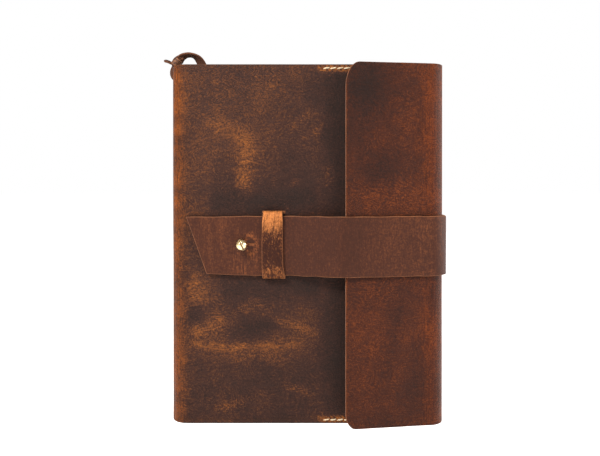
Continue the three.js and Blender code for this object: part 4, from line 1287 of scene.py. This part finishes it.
def strap_piece(name, s_st, s_lo, s_hi, free_lo, free_hi, tip=False):
    z_st = rows(SZ0, SZ1, 0.9)
    S, Z = np.meshgrid(s_st, z_st, indexing="ij")
    if tip:  # shear the end so its last station is the slanted cut
        slope = (TIP_BOT - TIP_TOP) / (SZ1 - SZ0)
        cut = T_END - (SZ1 - Z) * slope
        k = smooth((S - (HOLE_S + 8)) / (T_END - HOLE_S - 8)) ** 0.5
        base = HOLE_S + 8
        S = np.where(S > base, base + (S - base) * (cut - base) / (T_END - base), S)
    s, z = S.ravel(), Z.ravel()
    cells = grid_cells(len(s_st), len(z_st))
    if tip:
        # open a rectangle round the stud hole and fill it with rings that follow the keyhole
        a = int(np.searchsorted(s_st, SLIT_S - 3.0))
        b = int(np.searchsorted(s_st, HOLE_S + 6.5))
        c = int(np.searchsorted(z_st, HOLE_Z - 6.5))
        d = int(np.searchsorted(z_st, HOLE_Z + 6.5))
        idx = np.arange(len(s)).reshape(S.shape)
        keep = np.ones((len(s_st) - 1, len(z_st) - 1), bool)
        keep[a:b, c:d] = False
        cells = cells[keep.ravel()]
        loop = np.concatenate([idx[a:b, c], idx[b, c:d], idx[b:a:-1, d], idx[a, d:c:-1]])
        P = np.stack([s[loop], z[loop]], 1)
        t = np.clip(P[:, 0], SLIT_S, HOLE_S)
        core = np.stack([t, np.full(len(t), HOLE_Z)], 1)
        v = P - core
        v /= np.linalg.norm(v, axis=1)[:, None]
        w = np.maximum(0.10, np.sqrt(np.maximum(0, 2.3 ** 2 - (HOLE_S - t) ** 2)))
        rim = core + v * w[:, None]
        levels = [0.0, 0.05, 0.12, 0.2, 0.3, 0.42, 0.56, 0.7, 0.85]
        base_n = len(s)
        ring_idx = []
        for q in levels:
            pts = rim * (1 - q) + P * q
            ring_idx.append(np.arange(len(s), len(s) + len(pts)))
            s = np.concatenate([s, pts[:, 0]])
            z = np.concatenate([z, pts[:, 1]])
        ring_idx.append(loop)
        extra_cells = []
        for r0, r1 in zip(ring_idx[:-1], ring_idx[1:]):
            n = len(r0)
            for i in range(n):
                j = (i + 1) % n
                extra_cells.append([r1[i], r1[j], r0[j], r0[i]])
        cells = np.concatenate([cells, np.array(extra_cells)])
        used = np.unique(cells)
        remap = np.full(len(s), -1)
        remap[used] = np.arange(len(used))
        s, z, cells = s[used], z[used], remap[cells]
        in_patch = used >= base_n
    dist = np.minimum(z - SZ0, SZ1 - z)
    if free_lo:
        dist = np.minimum(dist, s - s_lo)
    if tip:
        dist = np.minimum(dist, tip_limit(s, z))
        t = np.clip(s, SLIT_S, HOLE_S)
        w = np.maximum(0.10, np.sqrt(np.maximum(0, 2.3 ** 2 - (HOLE_S - t) ** 2)))
        dist = np.minimum(dist, np.hypot(s - t, z - HOLE_Z) - w)
    dist = np.maximum(dist, 0)
    mid, nrm = STRAP.pos(s), STRAP.nrm(s)
    disp, wear, deep = strap_extra(s, z)
    for cut, free in ((s_lo, free_lo), (s_hi, free_hi)):
        if not free:
            disp = disp * smooth(np.abs(s - cut) / 2.0)
    h = 1.1 * edge_profile(dist, 0.5, 0.6)
    out = mid + nrm * (h + disp)[:, None]
    inn = mid - nrm * (h - np.clip(disp, 0, 0.6))[:, None]
    # the strap was cut a little slimmer towards its tip, and its long edges are not ruled lines
    k = smooth((s - (T_SEAM + 12)) / 30.0)
    zz = 109.25 + (z - 109.25) * (1 - 0.040 * k) + 0.20 * k
    zz = zz + 0.12 * waves(s, 0 * s, 89, 12, 50, 8) * (np.abs(z - 109.25) / 18.0)
    outer = np.stack([out[:, 0], out[:, 1], zz], 1)
    inner = np.stack([inn[:, 0], inn[:, 1], zz], 1)
    seam = ((np.abs(s - s_lo) < 1e-6) & (not free_lo)) | ((np.abs(s - s_hi) < 1e-6) & (not free_hi))
    return sheet(name, s, z, cells, outer, inner, dist,
                 {"wear": np.clip(wear, 0, 1.2), "deep": np.clip(deep, 0, 1)}, [strap_mat], seam)


strap_back = strap_piece(
    "strap_back_run",
    np.concatenate([[0, 0.15, 0.35, 0.6], stations((1.0, T_ARC0, 1.0), (T_ARC0, T_ARC1, 0.6), (T_ARC1, T_SIDE - 0.6, 0.9), (T_SIDE - 0.6, T_SIDE, 0.2))]),
    0.0, T_SIDE, True, False)
strap_fold = strap_piece(
    "strap_front_run",
    stations((T_SIDE, T_SIDE + 0.6, 0.2), (T_SIDE + 0.6, T_ARC2, 0.9), (T_ARC2, T_FRONT, 0.6), (T_FRONT, T_SEAM - 0.6, 0.8), (T_SEAM - 0.6, T_SEAM, 0.2)),
    T_SIDE, T_SEAM, False, False)
strap_end = strap_piece(
    "strap_tip_run",
    np.concatenate([stations((T_SEAM, T_SEAM + 0.6, 0.2), (T_SEAM + 0.6, SLIT_S - 3.0, 0.7), (SLIT_S - 3.0, HOLE_S + 6.5, 0.5), (HOLE_S + 6.5, T_END - 1.0, 0.8))[:-1],
                    [T_END - 1.0, T_END - 0.6, T_END - 0.35, T_END - 0.15, T_END]]),
    T_SEAM, T_END, False, True, tip=True)
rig.blend(strap_back, "back_cover", "strap_side", PV(74.8, 18.0), PV(86.3, 6.5))
# the strap lies on the flap, so it bends over the same stretch as the flap does
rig.blend(strap_fold, "strap_side", "strap_front", PV(83.8, -9.2), PV(fe[0], fe[1]))
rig.blend(strap_end, "strap_front", "strap_tip", PV(-24.5, -17.8), PV(-30.5, -17.8))
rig.replaces(strap_back, "strap_anchor", "strap_back_fold", "strap_side")
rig.replaces(strap_fold, "strap_front_fold", "strap_front")
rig.replaces(strap_end, "strap_tip")
for o in (strap_back, strap_fold, strap_end):
    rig.slot(o, "strap_leather")

# ------------------------------------------------------------------ keeper loop
KX0, KX1 = -27.5, -13.0
k_pts = np.concatenate([
    line([-12.7, 118.6], [-12.7, 127.6], 10),
    np.array([[-12.9, 128.6], [-13.6, 129.2]]),
    line([-14.8, 129.5], [-18.2, 129.6], 8),
    np.array([[-19.2, 129.45], [-19.9, 128.9], [-20.2, 128.0]]),
    line([-20.25, 127.0], [-20.25, 92.6], 40),
    np.array([[-20.2, 91.6], [-19.9, 90.7], [-19.2, 90.15]]),
    line([-18.2, 90.0], [-14.8, 90.1], 8),
    np.array([[-13.6, 90.4], [-12.9, 91.0]]),
    line([-12.7, 92.0], [-12.7, 101.0], 10)])
k_pts = relax(k_pts, 1.6, 1)
KP = Path(k_pts, flip=1.0)
kx = rows(0.0, KX1 - KX0, 0.6)
ks = rows(0.0, KP.length, 0.5)
KS, KXX = np.meshgrid(ks, kx, indexing="ij")
s, t = KS.ravel(), KXX.ravel()
mid, nrm = KP.pos(s), KP.nrm(s)
zc = mid[:, 1]
x_edge = KX0 + t
# the loop is hand cut: slim above and over its waist, spreading and leaning right at the bottom
fr = smooth((-mid[:, 0] - 14.5) / 3.0)
xl = np.interp(zc, [89, 92, 97, 112, 124, 130.5], [-26.9, -27.0, -27.35, -27.4, -27.2, -26.5])
xr = np.interp(zc, [89, 92, 97, 112, 124, 130.5], [-13.1, -13.6, -14.5, -14.8, -14.7, -15.0])
x_w = (xl + (xr - xl) * t / (KX1 - KX0)) * fr + (KX0 + t) * (1 - fr)
dist = np.minimum(np.minimum(t, KX1 - KX0 - t), np.minimum(s, KP.length - s))
front = smooth((-mid[:, 0] - 18.6) / 1.2)
disp = (0.07 * waves(t, s, 91, 6, 20, 10) + 0.02 * waves(t, s, 92, 1.5, 5, 12)) * front
disp = disp + 0.14 * front * np.cos((t - 7.25) / 7.25 * 1.4)
# the covered leather over the waist is crumpled in fine cross folds
disp = disp + 0.07 * front * pillow(zc, 93, 121, 5) * waves(t * 0.45, s, 96, 1.6, 4.0, 14)
h = 0.8 * edge_profile(dist, 0.4, 0.55)
o2 = mid + nrm * (h + disp)[:, None]
i2 = mid - nrm * h[:, None]
st = np.clip(0.72 + 0.4 * waves(t, s * 0.12, 93, 0.9, 3.5, 14), 0, 1.4)
w = 0.90 * smooth((zc + 1.0 * waves(t, s * 0.3, 94, 1.2, 4, 10) - 115.6) / 6.0) * (0.74 + 0.34 * (st - 0.7)) * (0.74 + 0.30 * smooth((zc - 121) / 5))
w = np.maximum(w, 0.32 * smooth((100 - zc) / 6.5) * (0.7 + 0.4 * (st - 0.7)))
w = np.maximum(w, 0.05 + 0.05 * st * pillow(zc, 98, 118, 5))
dk = 0.20 * pillow(zc, 97, 116, 6) * (0.8 + 0.3 * waves(t * 0.5, s, 95, 1.4, 4.5, 12))
keeper = sheet("keeper_band", s, t, grid_cells(len(ks), len(kx)),
               np.stack([x_w, o2[:, 0], o2[:, 1]], 1), np.stack([x_w, i2[:, 0], i2[:, 1]], 1), dist,
               {"wear": np.clip(w * 0.9, 0, 1.3), "deep": np.clip(dk, 0, 1), "hair": np.clip(front, 0, 1) * 0.9 * (np.clip(w, 0, 1) > 0.2)}, [keeper_mat])
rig.ride(keeper, "front_cover")
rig.replaces(keeper, "keeper_loop")
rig.slot(keeper, "keeper_leather")

# ------------------------------------------------------------------ stud


def lathe(name, profile, centre, mats, seg=56, cut=None):
    """Spun about a line along Y. profile is (radius, y) from front to back."""
    prof = np.array(profile, float)
    ang = np.linspace(0, 2 * math.pi, seg, endpoint=False)
    rings = []
    for r_, y_ in prof:
        rings.append(np.stack([centre[0] + r_ * np.cos(ang), np.full(seg, y_), centre[1] + r_ * np.sin(ang)], 1))
    rings = np.array(rings)
    if cut is not None:
        rings = cut(rings)
    v, f = loft(rings)
    acc = Acc()
    acc.add(v, f)
    return acc.object(name, mats)


ball_y, ball_r = -22.45, 3.6
prof = [(0.02, ball_y - ball_r * 0.93)]
for a in np.linspace(4, 148, 44):
    prof.append((ball_r * math.sin(math.radians(a)), ball_y - ball_r * math.cos(math.radians(a)) * (0.93 if a < 90 else 1.0)))
prof += [(1.80, -19.2), (1.75, -18.6), (1.8, -17.6), (2.05, -16.95), (2.6, -16.7), (3.6, -16.6), (3.9, -16.45), (4.0, -16.25), (3.95, -15.95), (3.8, -15.85), (1.9, -15.83), (0.3, -15.83)]


SLOT_ANGLE = 116.0


def slot_cut(rings):
    # a shallow screwdriver slot across the domed face, on the diagonal
    dx, dz = rings[..., 0] - STUD_X, rings[..., 2] - STUD_Z
    a = math.radians(SLOT_ANGLE)
    across = -dx * math.sin(a) + dz * math.cos(a) + 0.15
    depth = 0.75 * np.exp(-((across / 0.42) ** 4)) * smooth((ball_y - 1.2 - rings[..., 1]) / 0.6)
    rings = rings.copy()
    rings[..., 1] += depth
    return rings


stud = lathe("stud_ball", prof, (STUD_X, STUD_Z), [brass_mat], 132, slot_cut)
co = np.empty(len(stud.data.vertices) * 3)
stud.data.vertices.foreach_get("co", co)
co = co.reshape(-1, 3)
mid_ = np.array(M([STUD_X, ball_y, STUD_Z]))
dd = (co - mid_) * 1000.0
a_ = math.radians(SLOT_ANGLE)
grime = np.exp(-(((-dd[:, 0] * math.sin(a_) + dd[:, 2] * math.cos(a_) + 0.15) / 0.50) ** 4)) * (dd[:, 1] < -0.9)
grime = np.maximum(grime, 0.8 * smooth((dd[:, 1] - 1.2) / 1.0))   # and round the neck, where the strap rubs
at_ = stud.data.attributes.new("grime", "FLOAT", "POINT")
at_.data.foreach_set("value", grime.astype(np.float32))
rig.ride(stud, "front_cover")
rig.replaces(stud, "stud_head")
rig.slot(stud, "brass")
screw = lathe("stud_back_screw", [(0.3, -12.22), (3.4, -12.22), (4.0, -12.3), (4.25, -12.5), (4.3, -12.8), (4.3, -13.1), (4.1, -13.2), (1.55, -13.22), (1.5, -13.5), (1.5, -15.5), (0.4, -15.6)], (STUD_X, STUD_Z), [brass_mat])
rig.ride(screw, "front_cover")
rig.replaces(screw, "stud_screw")
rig.slot(screw, "brass")

# ------------------------------------------------------------------ stitching
for key, row, slant in (("top", TOP_F, 0.34), ("bottom", BOT_F, 0.34), ("side", SIDE_F, -0.24)):
    a = Acc()
    stitch_row(a, row, -15.45, -1, slant, seed=10, r=0.34, turns=-1.4)
    stitch_row(a, row, -12.02, 1, -slant, seed=400, lift=0.26, sink=0.4)
    o = a.object("stitches_front_" + key, [thread_mat])
    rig.ride(o, "front_cover")
    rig.replaces(o, "thread_front_" + key)
    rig.slot(o, "linen_thread")
    b = Acc()
    stitch_row(b, row, 15.45, 1, -slant, seed=700, r=0.34, turns=-1.4)
    stitch_row(b, row, 12.02, -1, -slant, seed=1100, lift=0.26, sink=0.4)
    o = b.object("stitches_back_" + key, [thread_mat])
    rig.ride(o, "back_cover")
    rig.replaces(o, "thread_back_" + key)
    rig.slot(o, "linen_thread")
a = Acc()
for k, row in enumerate(ANCHOR):
    stitch_row(a, row, 17.98, 1, 0.25, seed=1500 + 50 * k)
    stitch_row(a, row, 13.5, -1, -0.25, seed=1800 + 50 * k, lift=0.26, sink=0.4)
o = a.object("stitches_strap_anchor", [thread_mat])
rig.ride(o, "back_cover")
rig.replaces(o, "thread_strap_anchor")
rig.slot(o, "linen_thread")

# ------------------------------------------------------------------ pocket sleeves inside the boards


def sleeve(name, sign, x_hi, body, node, y_in, y_sewn, seed):
    """A thin leather pocket, sewn flat to the board along three edges and bellied out over the
    notebook's card. y_in and y_sewn are its middle surface over the card and at the seam."""
    xs = rows(8.0, x_hi, 1.0)
    zs = rows(0.0, HEIGHT, 1.3, fine=((0.8, 6.5), (213.5, 219.2)), fine_step=0.6)
    X, Z = np.meshgrid(xs, zs, indexing="ij")
    x, z = X.ravel(), Z.ravel()
    inner = np.minimum(np.minimum(z - 3.5, HEIGHT - 3.5 - z), 72.0 - x)
    k = smooth((inner + 0.4) / 1.6)
    y = y_sewn + (y_in - y_sewn) * k
    y = y - sign * 0.10 * k * (waves(x, z, seed, 14, 50, 8) - 1.0) * 0.5
    # normal from the height field
    Yg = y.reshape(X.shape)
    gx = np.gradient(Yg, xs, axis=0)
    gz = np.gradient(Yg, zs, axis=1)
    n = np.stack([-gx, np.ones_like(gx), -gz], -1).reshape(-1, 3)
    n /= np.linalg.norm(n, axis=1)[:, None]
    n *= -sign       # grain side faces the notebook
    dist = np.minimum(np.minimum(z, HEIGHT - z), np.minimum(x - 8.0, x_hi - x))
    dist = np.maximum(dist, 0)
    h = 0.58 * edge_profile(dist, 0.3, 0.5)
    mid = np.stack([x, y, z], 1)
    w = 0.30 * np.exp(-(((inner) / 1.4) ** 2)) * (0.6 + 0.4 * waves(x, z, seed + 1, 3, 12, 8)) + 0.25 * np.exp(-((x - 8) / 1.0) ** 2)
    w = np.maximum(w, 0.22 * np.clip(waves(x, z, seed + 2, 14, 50, 10), 0, 1.5))
    o = sheet(name, x, z + 300, grid_cells(len(xs), len(zs)), mid + n * h[:, None], mid - n * h[:, None], dist,
              {"wear": np.clip(w, 0, 1.2), "deep": np.zeros(len(x))}, [sleeve_mat])
    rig.ride(o, body)
    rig.replaces(o, node)
    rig.slot(o, "sleeve_leather")
    return o


sleeve("sleeve_front", -1, 75.0, "front_cover", "front_sleeve", -9.62, -12.62, 501)
sleeve("sleeve_back", 1, 74.6, "back_cover", "back_sleeve", 10.12, 12.62, 511)

# ------------------------------------------------------------------ notebook


def card(name, x0, x1, z0, z1, y0, y1, corner, seed, body, node):
    acc = Acc()
    pts = []
    for cx, cz, a0, cr in ((x1 - corner, z1 - corner, 0, corner), (x0 + 0.4, z1 - 0.4, 90, 0.4),
                           (x0 + 0.4, z0 + 0.4, 180, 0.4), (x1 - corner, z0 + corner, 270, corner)):
        for q in np.linspace(0, 90, 9):
            ang = math.radians(a0 + q)
            pts.append((cx + cr * math.cos(ang), cz + cr * math.sin(ang)))
    pts = np.array(pts)
    pts = resample(np.concatenate([pts, pts[:1]]), 2.0)[:-1]
    c = pts.mean(0)
    rings = []
    b = 0.16
    for ins, yy in ((b, y0), (b * 0.3, y0 + b * 0.3), (0, y0 + b), (0, y1 - b), (b * 0.3, y1 - b * 0.3), (b, y1)):
        d = pts - c
        q = c + d * (1 - ins / np.maximum(np.abs(d).max(1), 1)[:, None])
        rings.append(np.stack([q[:, 0], np.full(len(q), yy), q[:, 1]], 1))
    v, f = loft(np.array(rings))
    acc.add(v, f)
    o = acc.object(name, [card_mat], False)
    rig.ride(o, body)
    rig.replaces(o, node)
    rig.slot(o, "card")
    return o


card("card_front", -77.5, 70.5, 5, 215, -11.9, -10.7, 3.0, 1, "front_cover", "notebook_front_card")
card("card_back", -77.5, 70.5, 5, 215, 11.2, 12.4, 3.0, 2, "back_cover", "notebook_back_card")
card("card_spine", -79.3, -78.5, 5, 215, -9.8, 10.4, 0.3, 3, "spine", "notebook_spine")


def pages(name, y0, y1, layers, seed, body, node):
    o = slabs(name, -77.3, 70.2, 5.5, 214.5, y0, y1, layers, 0.22, 2.6, seed, [paper_mat])
    # mark which faces are the open leaf and which are cut edges, for the paper's grain
    m = o.data
    m.calc_loop_triangles()
    nrm = np.empty(len(m.polygons) * 3)
    m.polygons.foreach_get("normal", nrm)
    flat = (np.abs(nrm.reshape(-1, 3)[:, 1]) > 0.7).astype(np.float32)
    at = m.attributes.new("face", "FLOAT", "FACE")
    at.data.foreach_set("value", flat)
    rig.ride(o, body)
    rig.replaces(o, node)
    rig.slot(o, "paper")
    return o


pages("leaves_front", -8.7, -0.9, 26, 601, "pages_front", "pages_front")
pages("leaves_back", 0.9, 9.2, 28, 602, "back_cover", "pages_back")

# ------------------------------------------------------------------ lace
BL = [(-81.3, 0, 224.4), (-80.1, 0, 226.6), (-78.0, 0, 228.1), (-75.2, 0, 228.8), (-72.2, 0, 228.3), (-69.4, 0, 226.4), (-67.2, 0, 223.4),
      (-65.9, 0, 219.4), (-64.8, 0, 211), (-62.6, 0, 190), (-60.5, 0, 150), (-59.5, 0, 100), (-59.2, 0, 60), (-59.2, 0, 22.8)]
path = spline(BL, 0.6)
length = np.concatenate([[0], np.cumsum(np.linalg.norm(np.diff(path, axis=0), axis=1))])
# the thong leaves the knot half on edge, twists over the arch and lies flat between the leaves
roll = np.radians(np.interp(length, [0, 3.0, 6.5, 10.5, 14.5, 18.0, 22.0, 260], [50, 34, 15, 15, 42, 66, 90, 90]))
t_, _, _ = frames(path, (0, 1, 0))
in_plane = np.cross(np.broadcast_to([0, 1.0, 0], path.shape), t_)
side = np.array([0, 1.0, 0]) * np.cos(roll)[:, None] + in_plane * np.sin(roll)[:, None]
acc = Acc()
thong(acc, path, side, 5.7, 1.2, 1, (0.0, 2.0))
lace = acc.object("lace_bookmark", [lace_mat])
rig.ride(lace, "back_cover")
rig.replaces(lace, "bookmark_lace")
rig.slot(lace, "lace_leather")

LP = [(-83.7, 0, 222.4), (-84.8, 0, 220.6), (-85.7, 0, 218.4), (-85.9, 0, 216.4), (-85.4, 0, 214.5), (-84.3, 0, 213.3), (-82.6, 0, 213.05),
      (-81.2, 0, 214.0), (-80.7, 0, 216.0), (-80.7, 0, 218.5), (-80.9, 0, 221.6)]
p2 = spline(LP, 0.5)
l2 = np.linspace(0, 1, len(p2))
t2, _, _ = frames(p2, (0, 1, 0))
ip2 = np.cross(np.broadcast_to([0, 1.0, 0], p2.shape), t2)
r2 = np.radians(np.interp(l2, [0, 0.12, 0.3, 0.5, 1.0], [60, 56, 40, 6, 0]))
s2 = np.array([0, 1.0, 0]) * np.cos(r2)[:, None] + ip2 * np.sin(r2)[:, None]
acc = Acc()
thong(acc, p2, s2, 3.4, 1.1, 2)
lo_ = acc.object("lace_spine_loop", [lace_mat])
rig.ride(lo_, "spine")
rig.replaces(lo_, "lace_loop")
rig.slot(lo_, "lace_leather")

acc = Acc()
# knot: the thong turns round itself as it leaves the loop, then its cut tail sticks out to the left
u_ = np.array([0.74, 0, 0.67])
u_ /= np.linalg.norm(u_)
v_ = np.array([0, 1.0, 0])
w_ = np.cross(u_, v_)
c0 = np.array([-84.6, 0, 222.5])
tt = np.linspace(0, 1, 100)
ang = 2 * math.pi * 2.2 * tt + 0.9
rad = 1.75 + 0.35 * np.sin(math.pi * tt)
helix = c0 + u_ * (0.5 + 4.6 * tt)[:, None] + (v_ * np.cos(ang)[:, None] * 1.2 + w_ * np.sin(ang)[:, None]) * rad[:, None]
thong(acc, helix, np.broadcast_to(u_ + 0.22 * w_, helix.shape), 2.9, 1.1, 3, (1.2, 1.2))
thong(acc, spline([c0 - u_ * 0.6, c0 + u_ * 2.5, c0 + u_ * 5.4 + w_ * 0.2, (-79.6, 0, 226.3), (-78.6, 0, 226.9)], 0.5), (0, 1, 0.5), 3.4, 1.3, 4)
thong(acc, spline([(-82.9, 0.9, 223.9), (-84.6, 0.9, 223.3), (-86.4, 0.5, 223.7), (-88.2, 0.1, 224.5), (-90.9, 0, 225.2)], 0.4), (0, 1, 0.55), 2.9, 1.2, 5, (0.0, 1.3))
thong(acc, spline([(-84.3, 0.1, 221.2), (-84.7, -1.0, 223.2), (-83.2, -1.8, 225.6), (-81.0, -1.4, 227.2), (-79.6, -0.2, 227.4)], 0.4), (1, 0.2, -0.6), 2.4, 1.0, 6)
thong(acc, spline([(-80.9, 0.2, 220.9), (-80.6, 0.9, 223.0), (-81.4, 1.4, 225.0), (-83.0, 1.0, 226.0)], 0.4), (0.5, 1, 0), 2.4, 1.0, 7)
knot = acc.object("lace_knot_turns", [lace_mat])
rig.ride(knot, "spine")
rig.replaces(knot, "lace_knot")
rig.slot(knot, "lace_leather")
real = float(length[-1]) / 1000
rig.cord(lace, exit=tuple(M(path[0])), length=round(real, 4), diameter=0.0057, far_end="bare", stiffness="limp", lay="loose",
        path=[tuple(M(p)) for p in path[::2]])

# ------------------------------------------------------------------ stage and light
me = bpy.data.meshes.new("floor")
R = 6.0
me.from_pydata([(-R, -R, 0), (R, -R, 0), (R, R, 0), (-R, R, 0)], [], [(0, 1, 2, 3)])
floor = new_object("floor", me)
fm = bpy.data.materials.new("floor_paper")
fm.use_nodes = True
fb = fm.node_tree.nodes["Principled BSDF"]
fb.inputs["Base Color"].default_value = (0.90, 0.90, 0.90, 1)
fb.inputs["Emission Color"].default_value = (1, 1, 1, 1)
fb.inputs["Emission Strength"].default_value = 0.52
fb.inputs["Roughness"].default_value = 0.9
fb.inputs["Specular IOR Level"].default_value = 0.2
me.materials.append(fm)
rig.stage(floor)

world = bpy.data.worlds.new("studio")
bpy.context.scene.world = world
world.use_nodes = True
bg = world.node_tree.nodes["Background"]
bg.inputs[0].default_value = (1, 1, 1, 1)
# the sweep behind is seen plain white; as a light it is weaker, so the key can model the shapes
lp_ = world.node_tree.nodes.new("ShaderNodeLightPath")
mr = world.node_tree.nodes.new("ShaderNodeMapRange")
mr.inputs["To Min"].default_value = 0.55
mr.inputs["To Max"].default_value = 1.0
world.node_tree.links.new(lp_.outputs["Is Camera Ray"], mr.inputs["Value"])
world.node_tree.links.new(mr.outputs[0], bg.inputs[1])


def area(name, loc, target, size, power):
    ld = bpy.data.lights.new(name, "AREA")
    ld.shape = "DISK"
    ld.size = size
    ld.energy = power
    o = bpy.data.objects.new(name, ld)
    bpy.context.scene.collection.objects.link(o)
    o.location = loc
    d = Vector(target) - Vector(loc)
    o.rotation_euler = d.to_track_quat("-Z", "Y").to_euler()
    return o


area("key", (-0.60, -0.80, 0.95), (0, 0, 0.1), 0.38, 24.0)
area("fill", (0.9, -0.7, 0.45), (0, 0, 0.1), 0.6, 3.6)
area("rim", (1.0, 0.02, 0.30), (0, 0, 0.11), 0.5, 8.0)
area("back", (0.1, 0.9, 0.8), (0, 0, 0.1), 0.6, 9.0)
sc = bpy.context.scene
sc.view_settings.view_transform = "Standard"
sc.view_settings.look = "None"
sc.view_settings.exposure = 0.0
sc.view_settings.gamma = 1.0

# ------------------------------------------------------------------ sizes, and done
box1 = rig.bounds()
flat_list = lambda b: [[float(c) for c in p] for p in b]
with open("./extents.json", "w") as fh:
    json.dump({"cad": flat_list(BOX0), "visual": flat_list(box1)}, fh)
